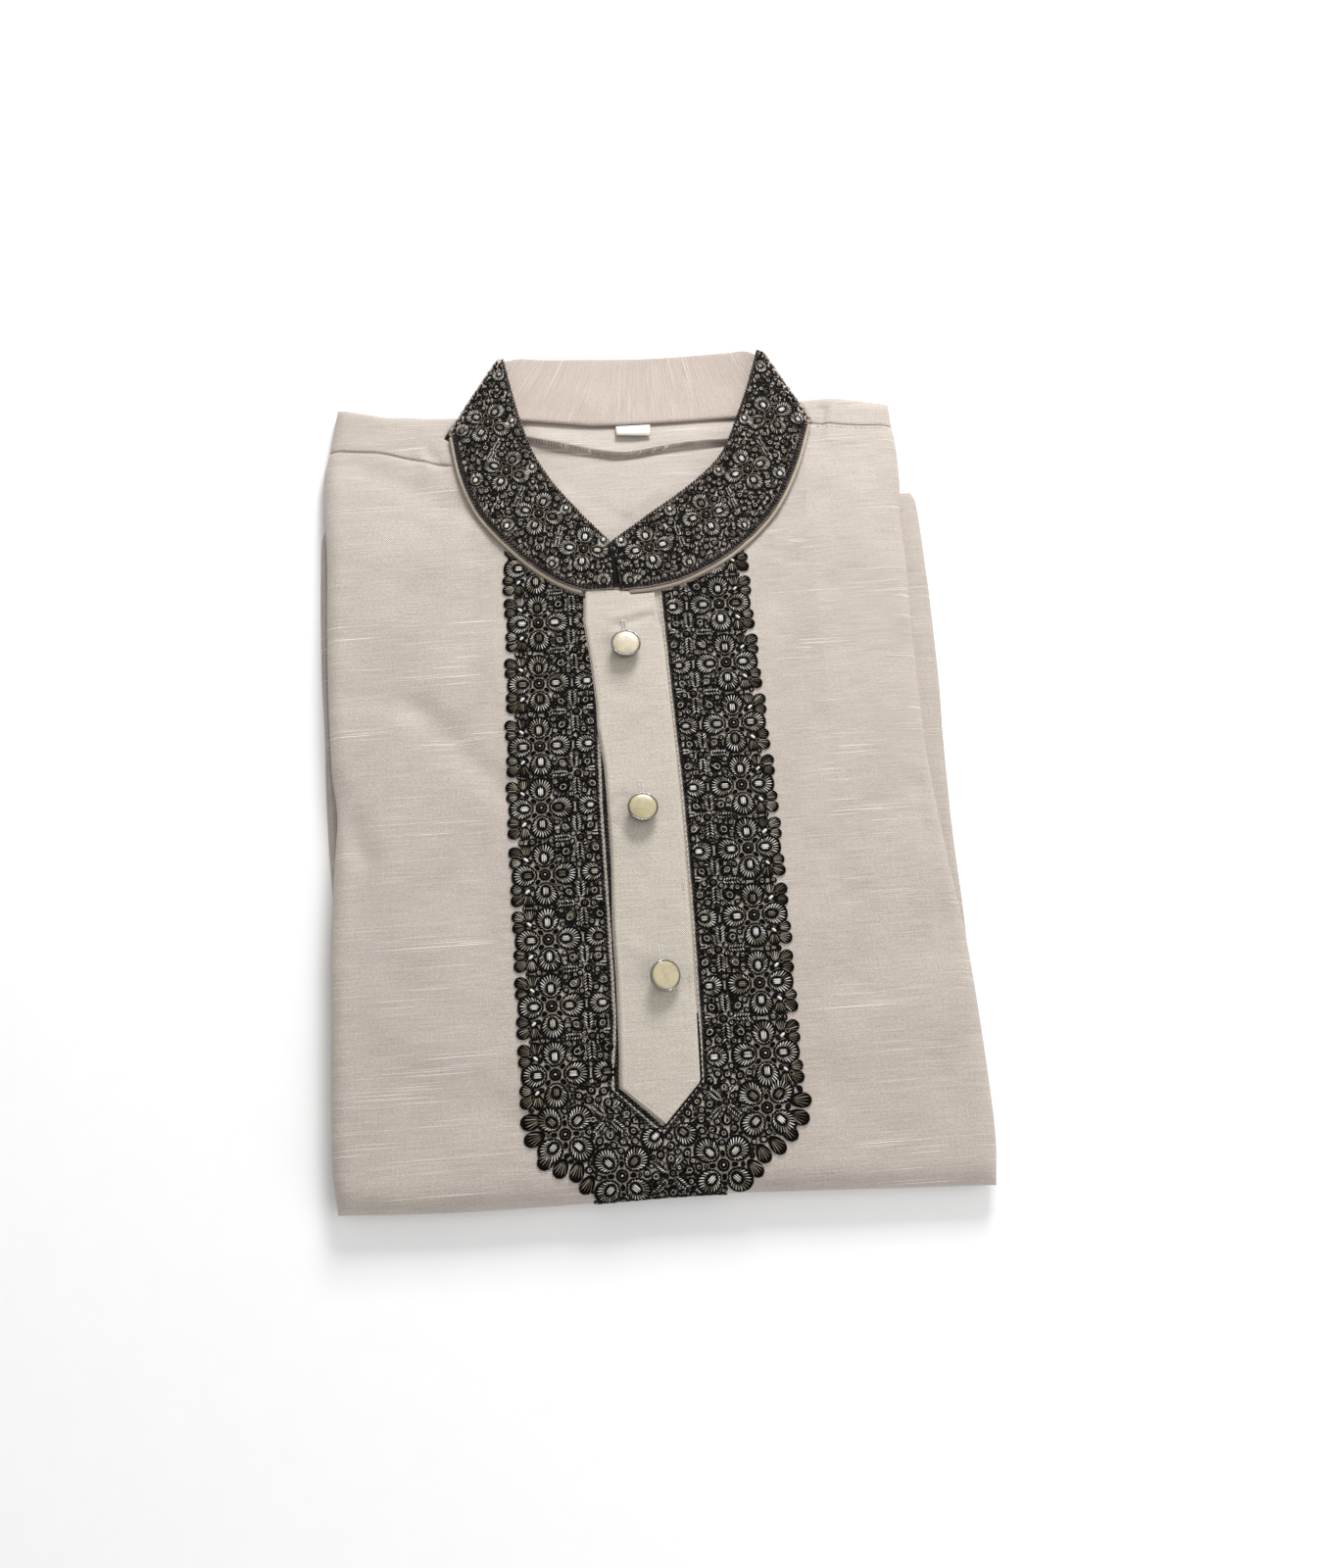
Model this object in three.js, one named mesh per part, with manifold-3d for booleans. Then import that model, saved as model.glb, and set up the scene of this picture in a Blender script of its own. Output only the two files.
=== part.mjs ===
// Folded short kurta lying on its back: front panel with an embroidered bib, stand collar and button placket.
// Millimetres. X runs across the garment, Y toward the collar, Z up from the surface it lies on.
import * as THREE from "three";
import Module from "manifold-3d";

const wasm = await Module();
wasm.setup();
const { Manifold } = wasm;

// Driving sizes
const clothWall = 1.6; // drawn thickness of one cloth
const gap = 0.3; // air between neighbouring pieces
const skirtHigh = 4.6; // folded-under skirt below the front
const sideRoll = 8; // how far the front's side folds roll in
const bandThick = 2.2; // collar band: two cloths and interlining
const backWall = 1.4;
const pipeRadius = 1.0;
const threadHigh = 1.0; // embroidery ground above the cloth
const petalHigh = 0.8; // petals above the embroidery ground
const petalLong = 6.2; // half length of a petal
const petalWide = 5.5; // half width
const petalOut = 9.6; // petal centre from its flower's centre
const placketWall = 1.5;
const buttonRadius = 7.5;
const buttonThick = 4.4;

// Outline of the folded front at the middle of its side rolls: across at a length, and along at a width
const leftEdge = [
  // y, x
  [-219, -151.5], [-200, -153.6], [-110, -153.2], [-89, -153], [-65, -151.6], [-43, -150], [-30, -149.2],
  [-20, -149.8], [-8, -151.4], [9, -152.2], [30, -152.9], [75, -153.3], [112, -153], [134, -154.1],
  [147, -154.8], [164, -154.7], [177, -152], [192, -149.5], [205, -147.1],
];
const rightEdge = [
  // y, x
  [-227, 150.5], [-205, 153], [-120, 152], [-65, 147.4], [-32, 145.2], [-6, 144.4], [33, 145], [64, 145.8],
  [80, 146.7], [96, 147.2], [113, 147.2], [136, 149.7], [152, 150.7], [163, 150.6], [174, 149.9], [187, 149.8],
];
const bottomEdge = [
  // x, y
  [-152, -218.5], [-100, -221], [-50, -221.5], [10, -221], [60, -223], [150, -227],
];
const topEdge = [
  // x, y
  [-147, 204.8], [-144.6, 204.4], [-130, 200.6], [-121, 198.4], [-110, 197.4], [-97, 195.8], [-60, 194],
  [80, 190.5], [104, 192], [120, 192.4], [136, 189.2], [150, 186],
];
// Height of the front's cloth along the garment, its underside, and the back's cloth seen in the neck
const frontHeight = [
  // y, z
  [-228, 16.6], [-60, 16.4], [40, 15.5], [110, 14.2], [130, 13.2], [145, 12], [160, 10.6], [175, 9.2],
  [190, 8.3], [205, 7.8],
];
const underHeight = [
  // y, z
  [-230, 0], [-207, 0], [-196, 4.9], [122, 4.9], [146, 0], [210, 0],
];
const neckHeight = [
  // y, z
  [85, 11.4], [113, 10.8], [130, 9.4], [150, 7.2], [164, 5.6], [171, 4.4], [177, 4.9], [187, 3], [200, 3],
];
// Soft creases of the front: from, to, half width and depth
const creases = [
  // x0, y0, x1, y1, wide, deep
  [-150, -12, -136, -50, 8, 1.6],
  [-136, -50, -137, -84, 9, 0.8],
  [-142, 34, -108, 25, 9, 1.1],
  [-108, 25, -66, -22, 9, 1.4],
  [-138, 168, -72, 130, 9, 1.3],
  [58, 100, 104, 132, 8, 1.2],
  [84, 66, 104, 80, 8, 0.8],
  [141, 46, 138, -34, 6, 1.0],
  [138, -34, 143, -118, 6, 1.1],
  [-76, -176, -60, -188, 10, 0.9],
  [84, -60, 98, -86, 9, 0.7],
];
// Collar: neck seam and free edge of the band, from the centre front round the back and to the front again
const collarLeft = {
  seam: [
    [-5.6, 82.5], [-20.3, 82.6], [-35.8, 90.3], [-52.8, 105.5], [-70.7, 128.6], [-80.2, 152.3], [-85, 180],
  ],
  free: [
    [-6, 109.8], [-20.9, 128.8], [-33, 146.2], [-42.4, 165.1], [-48.6, 187], [-52.6, 206.6], [-56, 226],
  ],
};
const collarRight = {
  seam: [
    [-1.4, 81.5], [15.6, 82.4], [32, 86.2], [55.8, 98.5], [79.5, 121], [93.8, 145.9], [103.8, 174],
  ],
  free: [
    [-4.5, 109.6], [14.6, 123.2], [38.9, 140.6], [55.9, 157.6], [68, 184.1], [74.7, 201.6], [81, 221.5],
  ],
};
const collarBack = {
  seam: [
    [-84, 181], [-64, 190.5], [-50, 190.5], [-26, 187], [-8, 184.4], [40, 183.6], [66, 183.6], [88, 181],
    [103, 175],
  ],
  free: [
    [-55.5, 228.4], [-48, 230], [-36, 229.8], [-14, 228.7], [14, 226.8], [40, 226.6], [66, 226.8], [76, 226.2],
    [81, 223.2],
  ],
};
const freeHeight = [
  // share of the way from the centre front to the fold, z
  [0, 15.2], [0.25, 14.2], [0.5, 12.6], [0.75, 10.6], [1, 8.6],
];
// Embroidered bib: outer edge down the left limb, round the point and up the right limb
const bibOuter = [
  [-54, 104], [-60.5, 54.5], [-63.5, 2.5], [-63.6, -48.5], [-63.8, -97.5], [-64, -144.5], [-64.4, -171.5],
  [-63.6, -190], [-51, -208.5], [-33, -222], [-33, -236], [25, -236], [26, -221.5], [50, -211], [66, -196],
  [67.2, -180.5], [66.8, -149.5], [66.8, -102.5], [66.6, -53.5], [65.6, -2.5], [64, 45.5], [56, 108],
];
const bibInner = [
  [-21.3, 84], [-22.4, 64.7], [-20.2, 43], [-18.7, 18.5], [-19, 7.6], [-16.9, -14], [-16.3, -42], [-16.6, -64],
  [-18.1, -95], [-18, -121], [-18.7, -150], [-19.5, -172.4], [0.9, -191.4], [18.6, -173.2], [19.4, -143],
  [20.2, -98], [20.3, -45], [19.6, 5], [18.3, 49.4], [16.3, 67], [15.8, 84],
];
const flowers = [
  // x, y, turn in degrees, inward side of its half petal (0 has none)
  [-45.2, 98, 0, 0], [-45, 66.4, 0, 1], [-46.2, 33, 0, 1], [-47.5, -0.5, 0, 1], [-48.4, -32.7, 0, 1],
  [-48.4, -66.6, 0, 1], [-48.4, -98.7, 0, 1], [-48.6, -130.8, 0, 1], [-48.6, -163, 0, 1],
  [47.8, 70.5, 0, -1], [48.5, 37.7, 0, -1], [49.4, 4.8, 0, -1], [50.4, -27.9, 0, -1], [50.6, -60.4, 0, -1],
  [50.5, -93.9, 0, -1], [50, -126.8, 0, -1], [49.6, -160.2, 0, -1], [-45.5, -190.6, 45, 0],
  [48.1, -185.3, 45, 0],
];
const pointPetals = [
  // x, y, angle: round the point of the placket and above the bottom fold
  [-30.5, -206, 135], [35.6, -203, 45], [-12.2, -203.6, 45], [16.2, -203, 135],
];
const placketOutline = [
  [2.2, 80.4], [-8, 81.8], [-20, 82.1], [-21.1, 64.7], [-18.9, 43], [-17.4, 18.5], [-17.7, 7.6], [-15.6, -14],
  [-15, -42], [-15.3, -64], [-16.8, -95], [-16.7, -121], [-17.4, -150], [-18.2, -171.8], [0.9, -189.4],
  [18.2, -171.2], [19, -143], [19.8, -98], [19.9, -45], [19.2, 5], [17.9, 49.4], [15.9, 67], [15.3, 78.6],
  [2.6, 78.4],
];
const placketUnder = [
  [-20.9, 78.8], [-22, 64.7], [-19.8, 43], [-18.3, 18.5], [-18.6, 7.6], [-16.5, -14], [-15.9, -42],
  [-16.2, -64], [-17.7, -95], [-17.6, -121], [-18.3, -150], [-19, -171.8], [0.9, -190.6], [18.1, -172.6],
  [18.9, -143],
  [19.7, -98], [19.8, -45], [19.1, 5], [17.8, 49.4], [15.8, 67], [15.2, 78.4],
];
const buttons = [
  // x, y, lift of its back above the placket, tilt toward +X and +Y in degrees
  [-1.6, 48.3, 1.6, 4, 9],
  [0.8, -38.5, 1.6, 5, 9],
  [4.6, -121.4, 2.6, 20, -6],
];

// Straight-line value of a two-column table
function linear(table, t) {
  const k = clamp(table.findIndex((row) => row[0] > t), 1, table.length - 1);
  const share = clamp((t - table[k - 1][0]) / (table[k][0] - table[k - 1][0]), 0, 1);
  const last = table[table.length - 1];
  return t >= last[0] ? last[1] : mix(table[k - 1][1], table[k][1], share);
}

const clamp = (v, lo, hi) => Math.max(lo, Math.min(hi, v));
const mix = (a, b, t) => a + (b - a) * t;

// Smooth value of a two-column table
function along(table, t) {
  const n = table.length;
  if (t <= table[0][0]) return table[0][1];
  if (t >= table[n - 1][0]) return table[n - 1][1];
  let k = 0;
  while (t > table[k + 1][0]) k += 1;
  const [t0, v0] = table[k];
  const [t1, v1] = table[k + 1];
  const before = table[Math.max(k - 1, 0)];
  const after = table[Math.min(k + 2, n - 1)];
  const m0 = (v1 - before[1]) / (t1 - before[0]);
  const m1 = (after[1] - v0) / (after[0] - t0);
  const h = t1 - t0;
  const u = (t - t0) / h;
  const a = 2 * u * u * u - 3 * u * u + 1;
  const b = u * u * u - 2 * u * u + u;
  const c = 3 * u * u - 2 * u * u * u;
  const d = u * u * u - u * u;
  return a * v0 + b * h * m0 + c * v1 + d * h * m1;
}

// Point at a share of a plan curve's length
function onCurve(curve, share) {
  const runs = curve.slice(1).map((p, k) => Math.hypot(p[0] - curve[k][0], p[1] - curve[k][1]));
  const total = runs.reduce((sum, run) => sum + run, 0);
  const stations = [0];
  runs.forEach((run) => stations.push(stations[stations.length - 1] + run));
  const at = (axis) => along(curve.map((p, k) => [stations[k], p[axis]]), clamp(share, 0, 1) * total);
  return [at(0), at(1)];
}

function creaseDrop(x, y) {
  let drop = 0;
  for (const [x0, y0, x1, y1, wide, deep] of creases) {
    const dx = x1 - x0;
    const dy = y1 - y0;
    const share = clamp(((x - x0) * dx + (y - y0) * dy) / (dx * dx + dy * dy), 0, 1);
    const away = Math.hypot(x - x0 - share * dx, y - y0 - share * dy) / wide;
    drop += deep * Math.exp(-away * away * 1.4);
  }
  return drop;
}

function frontTop(x, y) {
  const lowSide = 0.9 * clamp((x + 60) / 210, 0, 1) * clamp((-y - 60) / 160, 0, 1);
  return along(frontHeight, y) - creaseDrop(x, y) - lowSide;
}

const underside = (y) => linear(underHeight, y);
const middle = (y) => (along(frontHeight, y) + underside(y)) / 2;

function neckFloor(x, y) {
  const swell = 0.5 * Math.exp(-(((x + 26) / 16) ** 2) - ((y - 158) / 6) ** 2);
  return along(neckHeight, y) + swell;
}

// Closed solid between two grids of points; they share the rim where they meet
function gridSolid(nu, nv, topAt, lowAt) {
  const points = [];
  const top = [];
  const low = [];
  for (let i = 0; i < nu; i += 1) {
    for (let j = 0; j < nv; j += 1) {
      top.push(points.length);
      points.push(topAt(i, j));
    }
  }
  for (let i = 0; i < nu; i += 1) {
    for (let j = 0; j < nv; j += 1) {
      const p = lowAt(i, j);
      const q = points[top[i * nv + j]];
      const apart = Math.hypot(p[0] - q[0], p[1] - q[1], p[2] - q[2]);
      if (apart < 1e-4) {
        low.push(top[i * nv + j]);
      } else {
        low.push(points.length);
        points.push(p);
      }
    }
  }
  const faces = [];
  const face = (a, b, c) => {
    if (a !== b && b !== c && a !== c) faces.push(a, b, c);
  };
  for (let i = 0; i < nu - 1; i += 1) {
    for (let j = 0; j < nv - 1; j += 1) {
      const a = i * nv + j;
      const b = a + nv;
      face(top[a], top[b], top[b + 1]);
      face(top[a], top[b + 1], top[a + 1]);
      face(low[a], low[b + 1], low[b]);
      face(low[a], low[a + 1], low[b + 1]);
    }
  }
  const rim = [];
  for (let i = 0; i < nu - 1; i += 1) rim.push([i * nv, (i + 1) * nv]);
  for (let j = 0; j < nv - 1; j += 1) rim.push([(nu - 1) * nv + j, (nu - 1) * nv + j + 1]);
  for (let i = nu - 1; i > 0; i -= 1) rim.push([i * nv + nv - 1, (i - 1) * nv + nv - 1]);
  for (let j = nv - 1; j > 0; j -= 1) rim.push([j, j - 1]);
  for (const [a, b] of rim) {
    face(top[a], low[a], low[b]);
    face(top[a], low[b], top[b]);
  }
  return solidFrom(points, faces);
}

function solidFrom(points, faces) {
  const mesh = new wasm.Mesh({
    numProp: 3,
    vertProperties: new Float32Array(points.flat()),
    triVerts: new Uint32Array(faces),
  });
  mesh.merge();
  const solid = new Manifold(mesh);
  return solid.volume() < 0 ? flipped(points, faces) : solid;
}

// Upright block over a plan outline
function prism(outline, low, high) {
  const shape = new THREE.Shape(outline.map((p) => new THREE.Vector2(p[0], p[1])));
  const geometry = new THREE.ExtrudeGeometry(shape, { depth: high - low, bevelEnabled: false });
  geometry.translate(0, 0, low);
  return fromGeometry(geometry);
}

// Closed plan outline, counter-clockwise, grown by a distance
function outset(outline, away) {
  const count = outline.length;
  const out = (a, b) => {
    const run = Math.hypot(b[0] - a[0], b[1] - a[1]);
    return [(b[1] - a[1]) / run, (a[0] - b[0]) / run];
  };
  return outline.map((p, k) => {
    const before = out(outline[(k + count - 1) % count], p);
    const after = out(p, outline[(k + 1) % count]);
    const reach = away / (1 + before[0] * after[0] + before[1] * after[1]);
    return [p[0] + (before[0] + after[0]) * reach, p[1] + (before[1] + after[1]) * reach];
  });
}

const rollSteps = 5;

// Distances from an edge: close together on its roll, then evenly spread
function spread(total, rollLow, rollHigh, step) {
  const shares = [0, 0.06, 0.24, 0.56, 1];
  const inner = Math.max(1, Math.round((total - rollLow - rollHigh) / step));
  const list = shares.map((s) => s * rollLow);
  for (let k = 1; k < inner; k += 1) list.push(rollLow + ((total - rollLow - rollHigh) * k) / inner);
  return list.concat([...shares].reverse().map((s) => total - s * rollHigh));
}

const rolled = (d, wide) => Math.sqrt(Math.max(0, 1 - (1 - clamp(d / wide, 0, 1)) ** 2));

// The whole folded stack as a pillow, grown by the given amount all round.
// Inside its rolls every size of pillow has the same plan points, so that layers keep their gaps.
function pillow(grow) {
  const roll = { side: sideRoll, bottom: 12, top: 6.5 };
  const across = spread(300, roll.side, roll.side, 17);
  const length = spread(420, roll.bottom, roll.top, 16);
  const share = (list, k, wide, total) => (k < rollSteps ? list[k] / wide : (total - list[k]) / wide);
  // One coordinate between two edges: rolls at both ends, evenly spread between them
  const between = (list, k, low, high, from, to, total) => {
    if (k < rollSteps) return from - grow + share(list, k, low, total) * (low + grow);
    if (k >= list.length - rollSteps) return to + grow - share(list, k, high, total) * (high + grow);
    return mix(from + low, to - high, (list[k] - low) / (total - low - high));
  };
  const place = (i, j) => {
    let y = mix(-222, 194, length[j] / 420);
    let x = 0;
    for (let pass = 0; pass < 3; pass += 1) {
      x = between(across, i, roll.side, roll.side, along(leftEdge, y), along(rightEdge, y), 300);
      y = between(length, j, roll.bottom, roll.top, along(bottomEdge, x), along(topEdge, x), 420);
    }
    const sides = rolled(Math.min(across[i], 300 - across[i]), roll.side);
    return [x, y, sides * rolled(length[j], roll.bottom) * rolled(420 - length[j], roll.top)];
  };
  const topAt = (i, j) => {
    const [x, y, full] = place(i, j);
    return [x, y, middle(y) + (frontTop(x, y) + grow - middle(y)) * full];
  };
  const lowAt = (i, j) => {
    const [x, y, full] = place(i, j);
    return [x, y, middle(y) - (middle(y) - underside(y) + grow) * full];
  };
  return gridSolid(across.length, length.length, topAt, lowAt);
}

// Cloth lying on the front, between two heights above it
function onFront(outline, low, high, floor = 9.5) {
  return pillow(high).subtract(pillow(low)).intersect(prism(outline, floor, 60));
}

// Slab over a plan outline, between two heights above a surface
function overlay(outline, heightAt, low, high, step) {
  const xs = outline.map((p) => p[0]);
  const ys = outline.map((p) => p[1]);
  const x0 = (Math.floor(Math.min(...xs) / step) - 0.5) * step;
  const y0 = (Math.floor(Math.min(...ys) / step) - 0.5) * step;
  const nu = Math.ceil((Math.max(...xs) + 1 - x0) / step) + 1;
  const nv = Math.ceil((Math.max(...ys) + 1 - y0) / step) + 1;
  const at = (i, j, lift) => [x0 + i * step, y0 + j * step, heightAt(x0 + i * step, y0 + j * step) + lift];
  const slab = gridSolid(nu, nv, (i, j) => at(i, j, high), (i, j) => at(i, j, low));
  return slab.intersect(prism(outline, -60, 90));
}

// Curve moved sideways in plan; positive is to the left of its direction
function moved(curve, away, count = 14) {
  const list = [];
  for (let k = 0; k <= count; k += 1) {
    const a = onCurve(curve, (k - 0.5) / count);
    const b = onCurve(curve, (k + 0.5) / count);
    const p = onCurve(curve, k / count);
    const run = Math.hypot(b[0] - a[0], b[1] - a[1]) || 1;
    list.push([p[0] - ((b[1] - a[1]) / run) * away, p[1] + ((b[0] - a[0]) / run) * away]);
  }
  return list;
}

const bodyOut = pillow(0);
const shell = bodyOut.subtract(pillow(-clothWall));
const seamLeft = [[-170, 178.4], [-150, 177], [-136.6, 175.8], [-123.6, 174], [-110, 169.4], [-95, 165]];
const seamRight = [[90, 176.4], [113.9, 174.7], [133.6, 171.9], [170, 169.6]];
const neckLeft = moved(collarLeft.seam, -4.5);
const neckRight = moved(collarRight.seam, 4.5);
const aboveSeams = [
  ...seamLeft, [-70, 178], [-70, 230], [95, 230], [95, 176], ...seamRight.slice(1), [170, 240], [-170, 240],
];
// Plan of the neck opening with the collar's fold lines
const neckZone = [
  ...neckLeft.slice(0, -1), [-82.5, 176], [-90.2, 180.4], [-61, 227], [-60, 250], [88, 250], [86.6, 224.5],
  [109.2, 174], [101, 169.5], ...neckRight.slice(0, -1).reverse(),
];

// Plan kept clear for the skirt turned under
const skirtPlan = [[-170, -200.5], [170, -200.5], [170, 136], [-170, 136]];

function frontPanel() {
  const inner = [[-141, -197], [-141, 260], [137, 260], [137, -197]];
  const under = prism(inner, -10, 7.5);
  const neck = prism(neckZone, -10, 60);
  const above = prism(aboveSeams, -10, 60);
  const room = prism(skirtPlan, -10, skirtHigh + gap - 0.02);
  return shell.subtract(under).subtract(neck).subtract(above).subtract(room);
}

function shoulder(side) {
  const seam = side < 0 ? seamLeft : seamRight;
  const raised = seam.map((p) => [p[0], p[1] + gap]);
  const outerLeft = [...raised, [-80, 190], [-80, 240], [-170, 240]];
  const outerRight = [[94, 240], [94, 178], ...raised.slice(1), [170, 240]];
  const underLeft = [[-146, 150], [-60, 150], [-60, 184], [-146, 191]];
  const underRight = [[60, 150], [145, 150], [145, 174], [60, 180]];
  const keep = prism(side < 0 ? outerLeft : outerRight, -10, 60);
  const under = prism(side < 0 ? underLeft : underRight, -10, 4);
  return shell.intersect(keep).subtract(under).subtract(prism(neckZone, -10, 60));
}

const backOutline = [
  [-10, 74], [20, 76], [44, 84], [72, 104], [94, 134], [99, 160], [94, 170], [84, 183], [66, 186.5], [40, 187],
  [-8, 188], [-26, 190.5], [-50, 194], [-62, 193.5], [-73, 184], [-84, 168], [-86, 152], [-80, 128], [-62, 104],
  [-44, 88],
];

function hiddenLayers() {
  const stack = pillow(-clothWall - gap - 0.1);
  const room = prism(skirtPlan, -5, skirtHigh + gap);
  const neckRoom = overlay(outset(backOutline, gap), neckFloor, -backWall - gap, 40, 8);
  const collarPlan = [
    [-82, 178], [-92, 182], [-62, 250], [90, 250], [110, 170], [100, 176], [64, 181.5], [-50, 186], [-64, 187],
  ];
  const belowCollar = prism(neckZone.map((p) => [p[0], Math.max(p[1], 60)]), 13.4, 60);
  return stack.subtract(room).subtract(neckRoom).subtract(prism(collarPlan, -10, 60)).subtract(belowCollar);
}

// Skirt turned under: two stacked folds, each with rounded edges
const skirtSides = [
  // y, left x, right x
  [-201, -152.8, 153.6], [-180, -153.4, 153.8], [-150, -153.6, 154.7], [-115, -153.6, 153.6],
  [-90, -153.7, 153.9], [-66, -153.9, 154.1], [-40, -155, 154.7], [-10, -156.2, 155.5], [22, -157, 157.2],
  [46, -157.8, 157.9], [80, -157.9, 159], [108, -157.9, 158.8], [124, -157.8, 158.4], [130, -157.3, 157.9],
  [134.5, -155.4, 155.6],
];

function skirtFold() {
  const leaf = (inset, low, high, end) => {
    const shares = [0, 0.5, 1.8, 4, 150];
    const round = [0, 0.66, 0.95, 1, 1];
    const rows = [-200.2, -199, -196, -150, -105, -60, -10, 40, 80, 110, end - 5, end - 2, end - 0.7, end];
    const count = shares.length * 2;
    const mid = (low + high) / 2;
    const endRound = (j) => {
      const fromEnd = Math.min(j, rows.length - 1 - j);
      return [0, 0.8][fromEnd] ?? 1;
    };
    const at = (i, j, side) => {
      const y = rows[j];
      const fromLeft = i < shares.length;
      const k = fromLeft ? i : count - 1 - i;
      const edges = skirtSides.map((row) => [row[0], fromLeft ? row[1] + inset : row[2] - inset]);
      const x = along(edges, y) + (fromLeft ? 1 : -1) * shares[k];
      const full = round[k] * endRound(j);
      return [x, y, mid + side * full * (side > 0 ? high - mid : mid - low)];
    };
    return gridSolid(count, rows.length, (i, j) => at(i, j, 1), (i, j) => at(i, j, -1));
  };
  return leaf(0, 0, 2.5, 134.5).add(leaf(1.4, 2.1, skirtHigh, 132.2));
}

function backNeck() {
  return overlay(backOutline, neckFloor, -backWall, 0, 8);
}

const bandCount = 12;
const bandCrown = 0.5;

// Middle of a collar half's band at a share of its length: neck seam and free edge
function frontStation(half, share) {
  const [sx, sy] = onCurve(half.seam, share);
  const [fx, fy] = onCurve(half.free, share);
  const seamZ = Math.max(frontTop(sx, sy), 8.2) + 0.95 + bandThick / 2;
  return [[sx, sy, seamZ], [fx, fy, along(freeHeight, share) + bandThick / 2 - 0.6]];
}

// Collar band: middle surface station by station, seam to free edge
function collarStations() {
  const list = [];
  const back = (share) => {
    const [sx, sy] = onCurve(collarBack.seam, share);
    const [fx, fy] = onCurve(collarBack.free, share);
    return [[sx, sy, 5.45], [fx, fy, bandThick / 2 + 0.05]];
  };
  const count = bandCount;
  for (let k = 0; k <= count; k += 1) list.push(frontStation(collarLeft, k / count));
  turn(list, frontStation(collarLeft, 1), back(0), [-0.83, 0.56]);
  for (let k = 0; k <= count; k += 1) list.push(back(k / count));
  turn(list, back(1), frontStation(collarRight, 1), [0.89, 0.45]);
  for (let k = count; k >= 0; k -= 1) list.push(frontStation(collarRight, k / count));
  return list;
}

// Half-round turn between two stations, bulging the given way
function turn(list, from, to, outward) {
  for (let k = 1; k < 5; k += 1) {
    const angle = (Math.PI * k) / 5;
    const blend = (1 - Math.cos(angle)) / 2;
    list.push([0, 1].map((end) => {
      const bulge = Math.sin(angle) * 3.2;
      const p = [0, 1, 2].map((axis) => mix(from[end][axis], to[end][axis], blend));
      return [p[0] + outward[0] * bulge, p[1] + outward[1] * bulge, p[2]];
    }));
  }
}

// Wall on both sides of a surface given station by station
function bandWall(stations, shares, low, high, bulge) {
  const nu = stations.length;
  const nv = shares.length;
  const grid = stations.map(([a, b]) => shares.map((s) => a.map((v, axis) => mix(v, b[axis], s))));
  const normal = (i, j) => {
    const i0 = grid[Math.max(i - 1, 0)][j];
    const i1 = grid[Math.min(i + 1, nu - 1)][j];
    const j0 = grid[i][Math.max(j - 1, 0)];
    const j1 = grid[i][Math.min(j + 1, nv - 1)];
    const u = new THREE.Vector3(i1[0] - i0[0], i1[1] - i0[1], i1[2] - i0[2]);
    const v = new THREE.Vector3(j1[0] - j0[0], j1[1] - j0[1], j1[2] - j0[2]);
    return v.cross(u).normalize();
  };
  const at = (i, j, lift) => {
    const n = normal(i, j);
    const out = lift + bulge * 4 * shares[j] * (1 - shares[j]);
    const [x, y, z] = grid[i][j];
    return [x + n.x * out, y + n.y * out, z + n.z * out];
  };
  return gridSolid(nu, nv, (i, j) => at(i, j, high), (i, j) => at(i, j, low));
}

const bandShares = [0, 0.22, 0.5, 0.78, 1];
const stations = collarStations();

function collarBand() {
  return bandWall(stations, bandShares, -bandThick / 2, bandThick / 2, bandCrown);
}

// Low oval dome for one embroidered petal, lying on the given surface
function petal(cx, cy, angle, long, wide, heightAt, low, high) {
  const sides = 6;
  const turnBy = (angle * Math.PI) / 180;
  const ring = (share, lift) => {
    const list = [];
    for (let k = 0; k < sides; k += 1) {
      const a = (k * 2 * Math.PI) / sides;
      const u = long * share * Math.cos(a);
      const v = wide * share * Math.sin(a);
      const x = cx + u * Math.cos(turnBy) - v * Math.sin(turnBy);
      const y = cy + u * Math.sin(turnBy) + v * Math.cos(turnBy);
      list.push([x, y, heightAt(x, y) + lift]);
    }
    return list;
  };
  const foot = heightAt(cx, cy);
  const points = [...ring(1, low), ...ring(0.68, high), [cx, cy, foot + low], [cx, cy, foot + high - 0.25]];
  const faces = [];
  for (let k = 0; k < sides; k += 1) {
    const n = (k + 1) % sides;
    faces.push(k, n, sides + n, k, sides + n, sides + k);
    faces.push(sides + k, sides + n, 2 * sides + 1, n, k, 2 * sides);
  }
  return solidFrom(points, faces);
}

function flowerPetals(table, heightAt, low, high) {
  const list = [];
  for (const [x, y, turned, inward] of table) {
    for (let k = 0; k < 4; k += 1) {
      const angle = turned + 90 * k;
      const px = x + petalOut * Math.cos((angle * Math.PI) / 180);
      const py = y + petalOut * Math.sin((angle * Math.PI) / 180);
      list.push(petal(px, py, angle, petalLong, petalWide, heightAt, low, high));
    }
    if (inward) list.push(petal(x + inward * 22.4, y, 0, petalLong * 0.72, petalWide, heightAt, low, high));
  }
  return list;
}

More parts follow.
